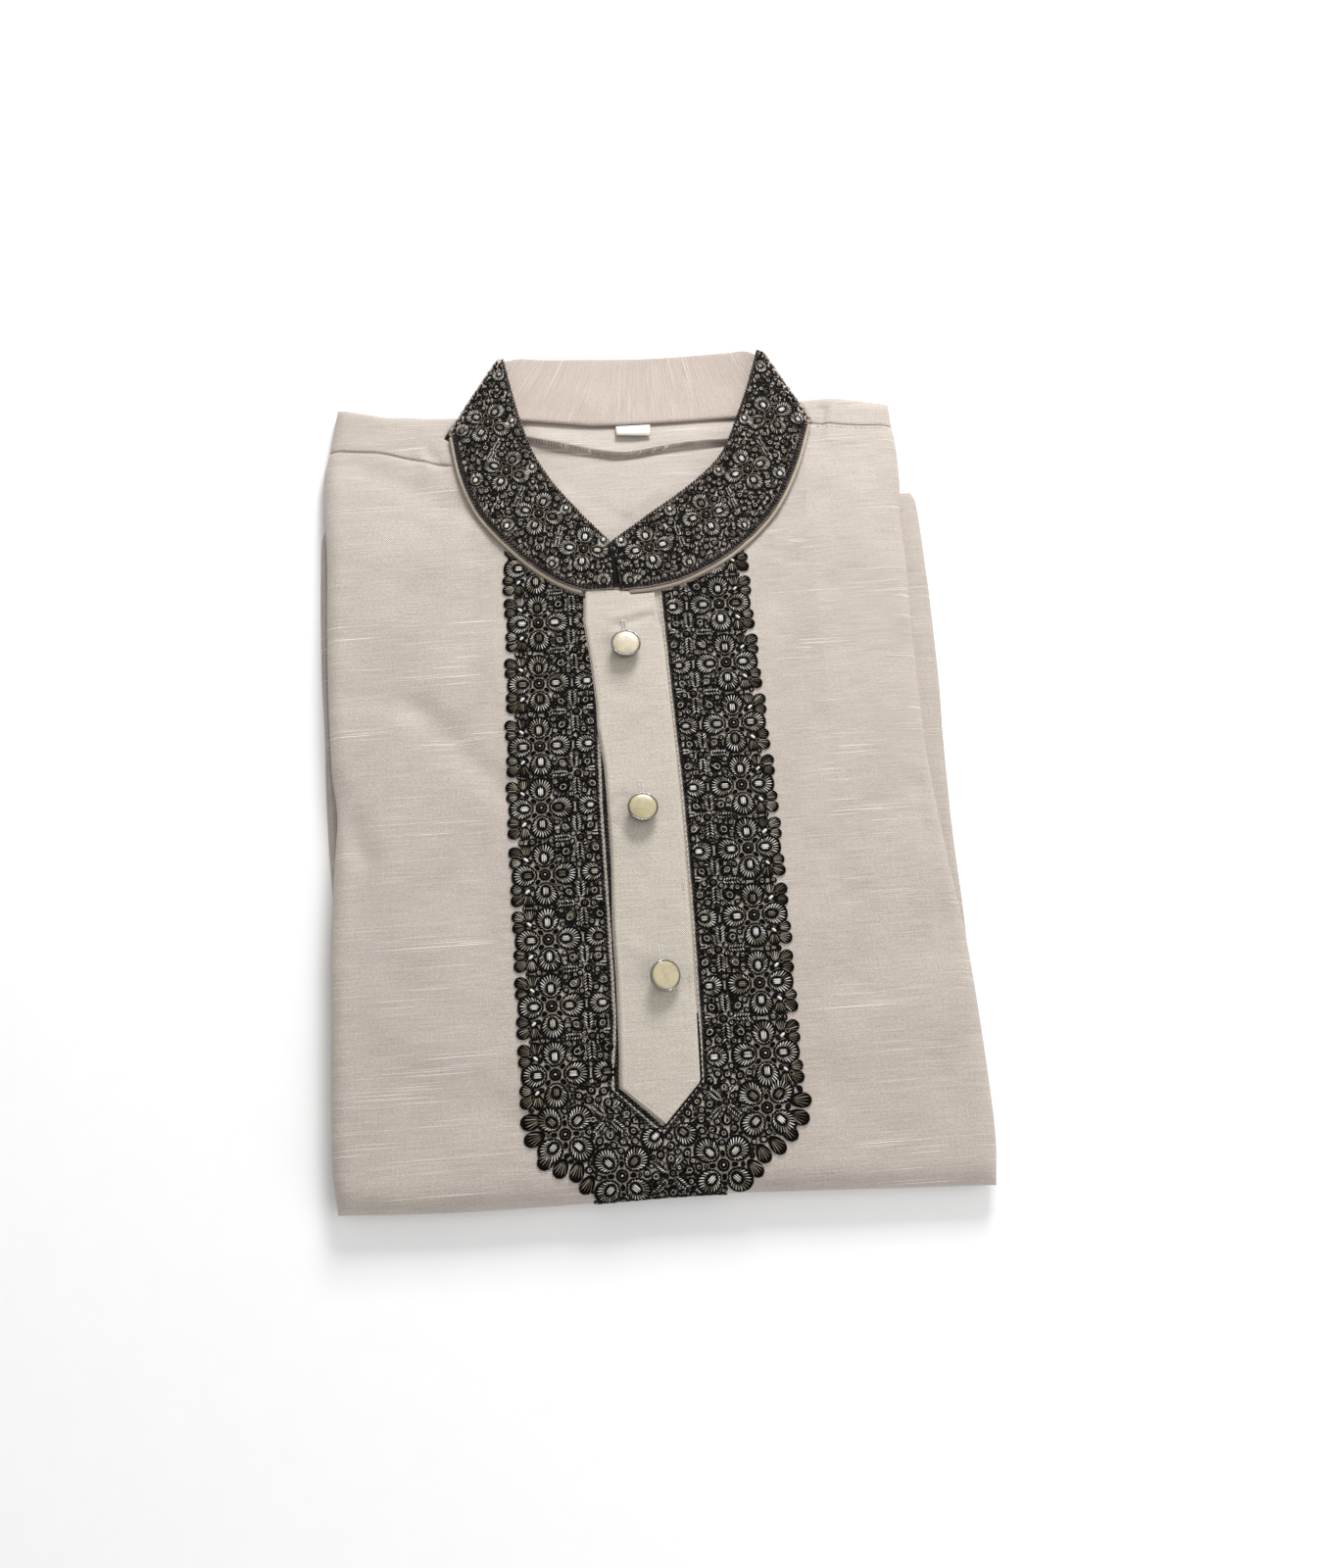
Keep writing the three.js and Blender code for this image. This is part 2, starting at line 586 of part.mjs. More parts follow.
// Outer edge of the bib with a small lobe for each leaf
function scalloped(line, pitch, deep) {
  const list = [];
  for (let k = 0; k < line.length - 1; k += 1) {
    const [x0, y0] = line[k];
    const [x1, y1] = line[k + 1];
    const run = Math.hypot(x1 - x0, y1 - y0);
    const lobes = y0 < -222 || y1 < -222 ? 0 : Math.round(run / pitch);
    list.push([x0, y0]);
    for (let n = 0; n < lobes; n += 1) {
      for (const [share, out] of [[0.3, 1], [0.7, 1], [1, 0]]) {
        const t = (n + share) / lobes;
        const away = (deep * out) / run;
        if (t < 0.999) list.push([mix(x0, x1, t) + (y1 - y0) * away, mix(y0, y1, t) - (x1 - x0) * away]);
      }
    }
  }
  list.push(line[line.length - 1]);
  return list;
}

function embroideryBib() {
  const seamLow = moved(collarLeft.seam, 2 * pipeRadius + 2 * gap).reverse();
  const seamHigh = moved(collarRight.seam, -2 * pipeRadius - 2 * gap);
  const neck = prism([...seamLow, ...seamHigh], -10, 60);
  const outline = scalloped(bibOuter, 8.3, -1.3);
  const upper = prism([[-90, -207], [90, -207], [90, 140], [-90, 140]], 9.5, 60);
  const roll = prism([[-90, -207], [90, -207], [90, -240], [-90, -240]], 3.4, 60);
  const around = prism(outline, -10, 60).subtract(prism(bibInner, -10, 60)).subtract(neck);
  const plan = around.intersect(upper.add(roll));
  const ground = pillow(gap + threadHigh).subtract(pillow(gap)).intersect(plan);
  const low = gap + 0.4;
  const high = gap + threadHigh + petalHigh;
  const petals = flowerPetals(flowers, frontTop, low, high);
  for (const [x, y, angle] of pointPetals) {
    petals.push(petal(x, y, angle, petalLong, petalWide, frontTop, low, high));
  }
  return ground.add(Manifold.union(petals).intersect(plan));
}

// Height of a collar half's outer face over a plan point
function bandTop(half, x, y) {
  let best = [1e9, 0];
  for (let k = 0; k <= 48; k += 1) {
    const share = k / 48;
    const [a, b] = frontStation(half, share);
    const dx = b[0] - a[0];
    const dy = b[1] - a[1];
    const t = clamp(((x - a[0]) * dx + (y - a[1]) * dy) / (dx * dx + dy * dy), 0, 1);
    const away = Math.hypot(a[0] + dx * t - x, a[1] + dy * t - y);
    if (away < best[0]) best = [away, mix(a[2], b[2], t) + bandCrown * 4 * t * (1 - t)];
  }
  return best[1] + bandThick / 2;
}

function collarEmbroidery(side) {
  const half = side < 0 ? collarLeft : collarRight;
  const own = side < 0 ? stations.slice(0, bandCount + 3) : stations.slice(-bandCount - 3);
  const lift = bandThick / 2 + gap;
  const base = bandWall(own, [0.03, ...bandShares.slice(1, -1), 0.965], lift, lift + threadHigh, bandCrown);
  const petals = [];
  for (const share of [0.13, 0.37, 0.61, 0.85]) {
    const [a, b] = frontStation(half, share);
    const heading = (Math.atan2(b[1] - a[1], b[0] - a[0]) * 180) / Math.PI;
    for (let k = 0; k < 4; k += 1) {
      const turned = ((heading + 90 * k) * Math.PI) / 180;
      const x = mix(a[0], b[0], 0.52) + 8.8 * Math.cos(turned);
      const y = mix(a[1], b[1], 0.52) + 8.8 * Math.sin(turned);
      const top = (px, py) => bandTop(half, px, py);
      petals.push(petal(x, y, heading + 90 * k, 5.8, 5.2, top, gap + 0.45, gap + threadHigh + petalHigh));
    }
  }
  return base.add(Manifold.union(petals));
}

function placketStrip() {
  const lift = gap + threadHigh + gap;
  const slits = buttons.map(([x, y]) => {
    const box = new THREE.BoxGeometry(0.7, 15, 30);
    box.translate(x, y + 7.5, 18);
    return fromGeometry(box);
  });
  return onFront(placketOutline, lift, lift + placketWall).subtract(Manifold.union(slits));
}

// Round tube along a plan curve
function tube(curve, heightAt, radius, count) {
  const path = moved(curve, 0, count).map((p) => new THREE.Vector3(p[0], p[1], heightAt(p[0], p[1])));
  const line = new THREE.CatmullRomCurve3(path);
  const sides = 7;
  const points = [];
  for (let k = 0; k <= count; k += 1) {
    const t = k / count;
    const p = line.getPoint(t);
    const tangent = line.getTangent(t);
    const across = new THREE.Vector3(-tangent.y, tangent.x, 0).normalize();
    const up = new THREE.Vector3().crossVectors(tangent, across).normalize();
    for (let s = 0; s < sides; s += 1) {
      const a = (s * 2 * Math.PI) / sides;
      points.push([
        p.x + radius * (across.x * Math.cos(a) + up.x * Math.sin(a)),
        p.y + radius * (across.y * Math.cos(a) + up.y * Math.sin(a)),
        p.z + radius * (across.z * Math.cos(a) + up.z * Math.sin(a)),
      ]);
    }
  }
  const faces = [];
  for (let k = 0; k < count; k += 1) {
    for (let s = 0; s < sides; s += 1) {
      const n = (s + 1) % sides;
      const a = k * sides;
      faces.push(a + s, a + sides + n, a + n, a + s, a + sides + s, a + sides + n);
    }
  }
  for (let s = 1; s < sides - 1; s += 1) {
    faces.push(0, s, s + 1, count * sides, count * sides + s + 1, count * sides + s);
  }
  return solidFrom(points, faces);
}

function piping(side) {
  const half = side < 0 ? collarLeft : collarRight;
  const whole = moved(half.seam, side < 0 ? pipeRadius + gap : -pipeRadius - gap, 20);
  const curve = whole.filter((p) => (side < 0 ? p[0] < -21.5 : p[0] > 1)).slice(0, -1);
  const lift = (x, y) => Math.max(frontTop(x, y), 8.2) + gap + 0.65 + pipeRadius;
  return tube(curve, lift, pipeRadius, 16);
}

function lathed(profile, segments, pose) {
  const geometry = new THREE.LatheGeometry(profile.map(([r, z]) => new THREE.Vector2(r, z)), segments);
  geometry.rotateX(Math.PI / 2);
  geometry.applyMatrix4(pose);
  return fromGeometry(geometry);
}

function fromGeometry(geometry) {
  geometry.deleteAttribute("normal");
  geometry.deleteAttribute("uv");
  const points = [];
  const index = [];
  const seen = new Map();
  const position = geometry.attributes.position;
  for (let k = 0; k < position.count; k += 1) {
    const p = [position.getX(k), position.getY(k), position.getZ(k)];
    const key = p.map((v) => Math.round(v * 1e4)).join();
    if (!seen.has(key)) {
      seen.set(key, points.length);
      points.push(p);
    }
    index.push(seen.get(key));
  }
  const faces = [];
  const order = geometry.index ? geometry.index.array : [...index.keys()];
  for (let k = 0; k < order.length; k += 3) {
    const t = [index[order[k]], index[order[k + 1]], index[order[k + 2]]];
    if (t[0] !== t[1] && t[1] !== t[2] && t[0] !== t[2]) faces.push(...t);
  }
  const solid = meshSolid(points, faces);
  return solid.volume() < 0 ? flipped(points, faces) : solid;
}

function meshSolid(points, faces) {
  const vertProperties = new Float32Array(points.flat());
  const triVerts = new Uint32Array(faces);
  return new Manifold(new wasm.Mesh({ numProp: 3, vertProperties, triVerts }));
}

function flipped(points, faces) {
  const back = [];
  for (let k = 0; k < faces.length; k += 3) back.push(faces[k], faces[k + 2], faces[k + 1]);
  return meshSolid(points, back);
}

function buttonPieces([x, y, lift, tiltX, tiltY]) {
  const r = buttonRadius;
  const t = buttonThick;
  const onPlacket = 2 * gap + threadHigh + placketWall + gap;
  const seat = frontTop(x, y) + onPlacket + lift;
  const lean = new THREE.Euler((-tiltY * Math.PI) / 180, (tiltX * Math.PI) / 180, 0, "ZYX");
  const pose = new THREE.Matrix4().makeRotationFromEuler(lean).setPosition(x, y, seat);
  const rimLine = [
    [0, 0], [r - 1.4, 0], [r - 0.7, 0.5], [r - 0.7, 1.5], [r, 2], [r, t - 0.5], [r - 0.4, t],
    [r - 0.8, t - 0.8], [0, t - 0.8],
  ];
  const faceLine = [[0, t - 0.5], [r - 1, t - 0.5], [r - 1, t - 0.1], [r - 2.4, t + 0.2], [0, t + 0.35]];
  const rim = lathed(rimLine, 18, pose);
  const shank = lathed([[0, -lift], [1.6, -lift], [1.6, 0.6], [0, 0.6]], 12, pose);
  const square = [[x - 12, y - 12], [x + 12, y - 12], [x + 12, y + 12], [x - 12, y + 12]];
  const floor = overlay(square, frontTop, -9, onPlacket, 4);
  return { rim: rim.add(shank).subtract(floor), face: lathed(faceLine, 18, pose) };
}

function neckLabel() {
  const plan = [[2.2, 176.4], [10, 175], [19.4, 174.6], [20.4, 182.8], [1.8, 183.2]];
  return overlay(plan, neckFloor, gap + 0.35, gap + 0.95, 4);
}

const colours = {
  cloth: 0xc9bfb4,
  lining: 0xd8cabe,
  thread: 0x4a463f,
  pipe: 0xb9ab98,
  metal: 0x8a8a88,
  shell: 0xdacdaf,
  tape: 0xece9e2,
};
const group = new THREE.Group();

function addNode(name, solid, colour, metalness = 0) {
  const mesh = solid.getMesh();
  const geometry = new THREE.BufferGeometry();
  geometry.setAttribute("position", new THREE.BufferAttribute(new Float32Array(mesh.vertProperties), 3));
  geometry.setIndex(new THREE.BufferAttribute(new Uint32Array(mesh.triVerts), 1));
  geometry.computeVertexNormals();
  const roughness = metalness ? 0.3 : 0.85;
  const material = new THREE.MeshStandardMaterial({ color: colour, metalness, roughness });
  const node = new THREE.Mesh(geometry, material);
  node.name = name;
  group.add(node);
}

addNode("hidden_layers", hiddenLayers().simplify(0.3), colours.cloth);
addNode("skirt_fold", skirtFold(), colours.cloth);
addNode("front", frontPanel().simplify(0.12), colours.cloth);
addNode("shoulder_left", shoulder(-1).simplify(0.07), colours.cloth);
addNode("shoulder_right", shoulder(1).simplify(0.07), colours.cloth);
addNode("back_neck", backNeck().simplify(0.02), colours.cloth);
addNode("collar_band", collarBand(), colours.lining);
addNode("collar_embroidery_left", collarEmbroidery(-1), colours.thread);
addNode("collar_embroidery_right", collarEmbroidery(1), colours.thread);
addNode("piping_left", piping(-1), colours.pipe);
addNode("piping_right", piping(1), colours.pipe);
addNode("embroidery_bib", embroideryBib().simplify(0.07), colours.thread);
addNode("placket_under", onFront(placketUnder, gap, gap + threadHigh).simplify(0.02), colours.cloth);
addNode("placket", placketStrip().simplify(0.02), colours.cloth);
addNode("neck_label", neckLabel(), colours.tape);
buttons.forEach((row, k) => {
  const pieces = buttonPieces(row);
  addNode(`button_${k + 1}_rim`, pieces.rim, colours.metal, 0.8);
  addNode(`button_${k + 1}_face`, pieces.face, colours.shell);
});

export default group;
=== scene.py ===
import math

import bpy
import numpy as np
from mathutils import Matrix, Vector


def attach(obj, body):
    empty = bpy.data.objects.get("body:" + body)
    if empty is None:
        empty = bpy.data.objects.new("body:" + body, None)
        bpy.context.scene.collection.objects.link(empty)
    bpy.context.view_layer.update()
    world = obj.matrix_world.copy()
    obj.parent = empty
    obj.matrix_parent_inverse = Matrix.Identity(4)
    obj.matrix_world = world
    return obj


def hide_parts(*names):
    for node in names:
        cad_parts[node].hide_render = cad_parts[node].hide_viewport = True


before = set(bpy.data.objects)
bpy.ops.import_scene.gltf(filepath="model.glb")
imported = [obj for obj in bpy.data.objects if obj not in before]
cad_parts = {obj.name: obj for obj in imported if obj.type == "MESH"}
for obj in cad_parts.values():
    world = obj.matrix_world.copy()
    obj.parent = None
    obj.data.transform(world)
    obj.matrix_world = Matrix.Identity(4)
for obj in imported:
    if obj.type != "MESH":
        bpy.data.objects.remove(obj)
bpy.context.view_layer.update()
print("frame loaded with", len(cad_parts), "nodes")

mm = 0.001  # all tables below are in millimetres
rng = np.random.default_rng(41)

# ---- the folded form: its plan edges and heights, as the solids have them
form = {
    "leftEdge": [(-219, -151.5), (-200, -153.6), (-110, -153.2), (-89, -153), (-65, -151.6), (-43, -150),
                 (-30, -149.2), (-20, -149.8), (-8, -151.4), (9, -152.2), (30, -152.9), (75, -153.3),
                 (112, -153), (134, -154.1), (147, -154.8), (164, -154.7), (177, -152), (192, -149.5),
                 (205, -147.1)],  # y, x
    "rightEdge": [(-227, 150.5), (-205, 153), (-120, 152), (-65, 147.4), (-32, 145.2), (-6, 144.4), (33, 145),
                  (64, 145.8), (80, 146.7), (96, 147.2), (113, 147.2), (136, 149.7), (152, 150.7), (163, 150.6),
                  (174, 149.9), (187, 149.8)],  # y, x
    "bottomEdge": [(-152, -218.5), (-100, -221), (-50, -221.5), (10, -221), (60, -223), (150, -227)],  # x, y
    "topEdge": [(-147, 204.8), (-144.6, 204.4), (-130, 200.6), (-121, 198.4), (-110, 197.4), (-97, 195.8),
                (-60, 194), (80, 190.5), (104, 192), (120, 192.4), (136, 189.2), (150, 186)],  # x, y
    "frontHeight": [(-228, 16.6), (-60, 16.4), (40, 15.5), (110, 14.2), (130, 13.2), (145, 12), (160, 10.6),
                    (175, 9.2), (190, 8.3), (205, 7.8)],  # y, z
    "underHeight": [(-230, 0), (-207, 0), (-196, 4.9), (122, 4.9), (146, 0), (210, 0)],  # y, z
    "neckHeight": [(85, 11.4), (113, 10.8), (130, 9.4), (150, 7.2), (164, 5.6), (171, 4.4), (177, 4.9),
                   (187, 3.0), (200, 3.0)],  # y, z
    "sideRoll": 8.0,
    "bottomRoll": 12.0,
    "topRoll": 6.5,
    "bottomHalf": 8.3,  # half the height of the roll at the bottom
    "creaseFall": 1.4,
    "cornerDrop": 0.9,  # how much lower the lower right corner is
}

# x0, y0, x1, y1, half width, depth; a negative depth is a ridge
creases = [
    (-150, -12, -136, -50, 8, 1.6), (-136, -50, -137, -84, 9, 0.8), (-142, 34, -108, 25, 9, 1.1),
    (-108, 25, -66, -22, 9, 1.4), (-138, 168, -72, 130, 9, 1.3), (58, 100, 104, 132, 8, 1.2),
    (84, 66, 104, 80, 8, 0.8), (141, 46, 138, -34, 6, 1.0), (138, -34, 143, -118, 6, 1.1),
    (-76, -176, -60, -188, 10, 0.9), (84, -60, 98, -86, 9, 0.7),
    (-134, 62, -92, 2, 15, 0.5), (-120, 78, -78, 30, 17, -0.45), (-98, 172, -92, 163, 3.2, 1.0),
    (-104, 173, -99, 164, 3.0, -0.6), (-90, 158, -108, 148, 4.5, 0.5), (-84, 144, -104, 126, 6, 0.5),
    (-74, 126, -98, 104, 7, -0.4), (-124, -136, -78, -153, 13, -0.6), (-132, -158, -78, -176, 12, 0.5),
    (67, 107, 82, 120, 2.6, 0.7), (72, 104, 88, 115, 2.6, -0.4), (74, 118, 97, 141, 4.2, 0.5),
    (78, 112, 103, 134, 5, -0.4), (114, 184, 110, 167, 3.0, 1.1), (119, 184, 114, 167, 3.2, -0.7),
    (106, 166, 118, 150, 5, 0.4), (76, 72, 99, 98, 8, 0.7), (80, 60, 108, 86, 9, -0.4),
    (76, 23, 119, 52, 12, 0.5), (84, -18, 130, 8, 15, -0.4), (93, -133, 139, -103, 14, 0.5),
    (88, -160, 128, -140, 14, -0.4), (-140, 118, -84, 100, 14, -0.4), (-146, -100, -112, -118, 11, 0.5),
    (110, 112, 140, 128, 9, 0.35), (118, -52, 138, -70, 10, -0.35),
]

collar = {
    "leftSeam": [(-5.6, 82.5), (-20.3, 82.6), (-35.8, 90.3), (-52.8, 105.5), (-70.7, 128.6), (-80.2, 152.3),
                 (-85, 180)],
    "leftFree": [(-6, 109.8), (-20.9, 128.8), (-33, 146.2), (-42.4, 165.1), (-48.6, 187), (-52.6, 206.6),
                 (-56, 226)],
    "rightSeam": [(-1.4, 81.5), (15.6, 82.4), (32, 86.2), (55.8, 98.5), (79.5, 121), (93.8, 145.9),
                  (103.8, 174)],
    "rightFree": [(-4.5, 109.6), (14.6, 123.2), (38.9, 140.6), (55.9, 157.6), (68, 184.1), (74.7, 201.6),
                  (81, 221.5)],
    "backSeam": [(-84, 181), (-64, 190.5), (-50, 190.5), (-26, 187), (-8, 184.4), (40, 183.6), (66, 183.6),
                 (88, 181), (103, 175)],
    "backFree": [(-55.5, 230.6), (-48, 231.8), (-42, 231), (-36, 230.2), (-14, 228.7), (14, 226.8), (40, 226.6),
                 (66, 227), (76, 227.6), (81, 225)],
    "freeHeight": [(0, 15.2), (0.25, 14.2), (0.5, 12.6), (0.75, 10.6), (1, 8.6)],
    "thick": 2.2,
    "crown": 0.5,
    "seamLeast": 8.2, "seamGap": 0.95,  # the neck seam's least height, and the band's gap over the front
    "leftTurn": (-0.83, 0.56), "rightTurn": (0.89, 0.45), "turnOut": 3.2,  # where its two folds point
}


def along(table, t):
    t = np.asarray(t, float)
    xs = np.array([row[0] for row in table], float)
    vs = np.array([row[1] for row in table], float)
    k = np.clip(np.searchsorted(xs, t, side="right") - 1, 0, len(xs) - 2)
    before, after = np.maximum(k - 1, 0), np.minimum(k + 2, len(xs) - 1)
    t0, t1, v0, v1 = xs[k], xs[k + 1], vs[k], vs[k + 1]
    m0 = (v1 - vs[before]) / (t1 - xs[before])
    m1 = (vs[after] - v0) / (xs[after] - t0)
    h = t1 - t0
    u = np.clip((t - t0) / h, 0, 1)
    return ((2 * u**3 - 3 * u**2 + 1) * v0 + (u**3 - 2 * u**2 + u) * h * m0
            + (3 * u**2 - 2 * u**3) * v1 + (u**3 - u**2) * h * m1)


def straight(table, t):
    return np.interp(t, [row[0] for row in table], [row[1] for row in table])


def onCurve(curve, share):
    pts = np.array(curve, float)
    stations = np.concatenate([[0], np.cumsum(np.linalg.norm(np.diff(pts, axis=0), axis=1))])
    at = np.clip(share, 0, 1) * stations[-1]
    return np.stack([along(list(zip(stations, pts[:, axis])), at) for axis in range(2)], axis=-1)


def rolled(distance, wide):
    return np.sqrt(np.clip(1 - (1 - np.clip(distance / wide, 0, 1)) ** 2, 0, 1))


def smooth(lo, hi, t):
    u = np.clip((t - lo) / (hi - lo), 0, 1)
    return u * u * (3 - 2 * u)


def sideName(side):
    return "left" if side < 0 else "right"


# how deep a table of creases goes at each point
def creased(table, x, y):
    depth = 0.0
    for x0, y0, x1, y1, wide, deep in table:
        dx, dy = x1 - x0, y1 - y0
        share = np.clip(((x - x0) * dx + (y - y0) * dy) / (dx * dx + dy * dy), 0, 1)
        away = np.hypot(x - x0 - share * dx, y - y0 - share * dy) / wide
        depth = depth + deep * np.exp(-form["creaseFall"] * away * away)
    return depth


def frontTop(x, y):
    x, y = np.broadcast_arrays(np.asarray(x, float), np.asarray(y, float))
    ripple = (0.16 * np.sin(x / 17 + 0.8 * np.sin(y / 41)) * np.sin(y / 23 + 1.3)
              + 0.12 * np.sin((x + 0.7 * y) / 11 + 2.1 * np.sin(x / 60)))
    lowCorner = form["cornerDrop"] * np.clip((x + 60) / 210, 0, 1) * np.clip((-y - 60) / 160, 0, 1)
    return along(form["frontHeight"], y) - creased(creases, x, y) - lowCorner + ripple


def underside(y):
    return straight(form["underHeight"], y)


def middle(y):
    return (along(form["frontHeight"], y) + underside(y)) / 2


# the cloth's inside seen in the neck, with the soft roll that hangs below the collar seam
neckRoll = [(-60, 186), (-52, 182.5), (-42, 179.5), (-24, 174), (-8, 169.6), (7, 167.4), (28.5, 170.2),
            (50, 171.6), (66, 171.8), (84, 170)]  # x, y of its lower edge


neckCreases = [(-14, 161, 1, 163.5, 3, 0.5), (5, 130, 24, 143, 3.4, -0.6), (-25, 146, 4, 124, 5, 0.5),
               (30, 158, 50, 150, 6, 0.5), (-2, 118, 4, 134, 3, 0.5), (-48, 160, -20, 140, 6, -0.4)]
neckLip = {
    "starts": (-62, -38), "high": 4.9, "fade": 5.5, "edge": (0.5, -0.8),
    "lowRight": 0.3, "lowFrom": (45, 62),  # it is lower by this share towards the right
    "hollow": 2.6, "hollowAt": 1.9, "hollowWide": 2.2,
}


def neckFloor(x, y):
    below = along(neckRoll, x) - y
    onset = smooth(*neckLip["starts"], x)
    high = neckLip["high"] * (1 - neckLip["lowRight"] * smooth(*neckLip["lowFrom"], x))
    lip = high * smooth(*neckLip["edge"], below) * np.exp(-np.clip(-below, 0, None) / neckLip["fade"]) * onset
    hollow = neckLip["hollow"] * np.exp(-((below - neckLip["hollowAt"]) / neckLip["hollowWide"]) ** 2) * onset
    return along(form["neckHeight"], y) + lip - hollow - creased(neckCreases, x, y)


# ---- the front's cloth as a surface to lay things on: x across and q along it, q going on round the bottom roll
rollPhi = np.linspace(0, 2.6, 120)
rollArc = np.concatenate([[0], np.cumsum(np.hypot(np.diff(form["bottomRoll"] * np.sin(rollPhi)),
                                                   np.diff(form["bottomHalf"] * np.cos(rollPhi))))])


def clothPlace(x, q):
    x, q = np.broadcast_arrays(np.asarray(x, float), np.asarray(q, float))
    start = along(form["bottomEdge"], x) + form["bottomRoll"]
    phi = np.interp(np.clip(start - q, 0, None), rollArc, rollPhi)
    y = np.where(q < start, start - form["bottomRoll"] * np.sin(phi), q)
    mid = middle(y)
    z = mid + np.where(np.cos(phi) > 0, frontTop(x, y) - mid, mid - underside(y)) * np.cos(phi)
    return np.stack([x, y, z], axis=-1)


# points lifted off a surface, with its up vector and its two directions
def laidOn(place, x, q, lift):
    here = place(x, q)
    probe = 0.4
    ax = place(np.asarray(x) + probe, q) - place(np.asarray(x) - probe, q)
    ay = place(x, np.asarray(q) + probe) - place(x, np.asarray(q) - probe)
    up = np.cross(ax, ay)
    up /= np.linalg.norm(up, axis=-1, keepdims=True)
    return here + up * np.asarray(lift)[..., None], up, ax / (2 * probe), ay / (2 * probe)


# ---- mesh helpers
def makeObject(name, points, faces, material, uvs=None, smoothShade=True):
    mesh = bpy.data.meshes.new(name)
    mesh.from_pydata((np.asarray(points) * mm).tolist(), [], [list(f) for f in faces])
    if uvs is not None:
        layer = mesh.uv_layers.new(name="weave")
        layer.data.foreach_set("uv", (np.asarray(uvs, float) * mm).ravel())
    mesh.validate()
    mesh.update()
    if smoothShade:
        mesh.shade_smooth()
    piece = bpy.data.objects.new(name, mesh)
    bpy.context.scene.collection.objects.link(piece)
    piece.data.materials.append(material)
    return piece


def applied(piece):
    graph = bpy.context.evaluated_depsgraph_get()
    mesh = bpy.data.meshes.new_from_object(piece.evaluated_get(graph))
    piece.modifiers.clear()
    piece.data = mesh
    return piece


def thicken(piece, wall):
    solidify = piece.modifiers.new("wall", "SOLIDIFY")
    solidify.thickness = wall * mm
    solidify.offset = -1
    solidify.use_even_offset = False
    return applied(piece)


def finished(piece, slotName, *nodes):
    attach(piece, "root")
    if nodes:
        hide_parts(*nodes)
    print("made", piece.name, len(piece.data.polygons), "faces")
    return piece


def arcLengths(grid, axis):
    step = np.linalg.norm(np.diff(grid, axis=axis), axis=-1)
    zero = np.zeros_like(np.take(step, [0], axis=axis))
    return np.concatenate([zero, np.cumsum(step, axis=axis)], axis=axis)


# one cloth going over the top, round its rolls and a little way back underneath
def foldedShell(name, x, y, full, lowMask, material, wall, dip):
    mid = middle(y)
    top = np.stack([x, y, mid + (frontTop(x, y) - mid) * full - dip(x, y)], axis=-1)
    low = np.stack([x, y, mid - (mid - underside(y)) * full], axis=-1)
    nu, nv = x.shape
    points = top.reshape(-1, 3).tolist()
    topIndex = np.arange(nu * nv).reshape(nu, nv)
    lowIndex = topIndex.copy()
    for i in range(nu):
        for j in range(nv):
            if full[i, j] > 1e-6:
                lowIndex[i, j] = len(points)
                points.append(low[i, j].tolist())
    u = arcLengths(top, 0)
    v = arcLengths(top, 1)
    centre = int(np.argmin(abs(x[:, nv // 2])))
    u = u - u[centre][None, :] + x[centre][None, :]
    v = v - v[:, [nv // 2]] + y[:, [nv // 2]]
    faces, uvs = [], []
    for i in range(nu - 1):
        for j in range(nv - 1):
            ring = [(i, j), (i + 1, j), (i + 1, j + 1), (i, j + 1)]
            faces.append([topIndex[p] for p in ring])
            uvs += [(u[p], v[p]) for p in ring]
            if lowMask[i, j]:
                side = i < nu / 2
                nearSide = min(i, nu - 2 - i) <= j
                faces.append([lowIndex[p] for p in reversed(ring)])
                for p in reversed(ring):
                    rim = u[0 if side else nu - 1, p[1]]
                    uvs.append((2 * rim - u[p], v[p]) if nearSide else (u[p], 2 * v[p[0], 0] - v[p]))
    kept, keptUvs = [], []
    for k, face in enumerate(faces):
        corners = list(dict.fromkeys(face))  # points that fell together count once
        if len(corners) > 2:
            kept.append([int(p) for p in corners])
            keptUvs += [uvs[4 * k + face.index(p)] for p in corners]
    used = sorted({p for f in kept for p in f})
    place = {p: n for n, p in enumerate(used)}
    piece = makeObject(name, [points[p] for p in used], [[place[p] for p in f] for f in kept], material, keptUvs)
    return thicken(piece, wall)


# places along a length, closer together where it rolls over at either end
def rollStations(total, low, high, step, count=7):
    low, high = max(low, 0.0), max(high, 0.0)
    bend = 1 - np.cos(np.linspace(0, math.pi / 2, count))
    parts = [bend * low] if low else [np.array([0.0])]
    inner = max(2, round((total - low - high) / step))
    parts.append(low + (total - low - high) * np.arange(1, inner) / inner)
    parts.append(total - bend[::-1] * high if high else np.array([total]))
    return np.concatenate(parts)


# ---- materials
def newMaterial(name):
    material = bpy.data.materials.new(name)
    material.use_nodes = True
    tree = material.node_tree
    return material, tree, tree.nodes["Principled BSDF"]


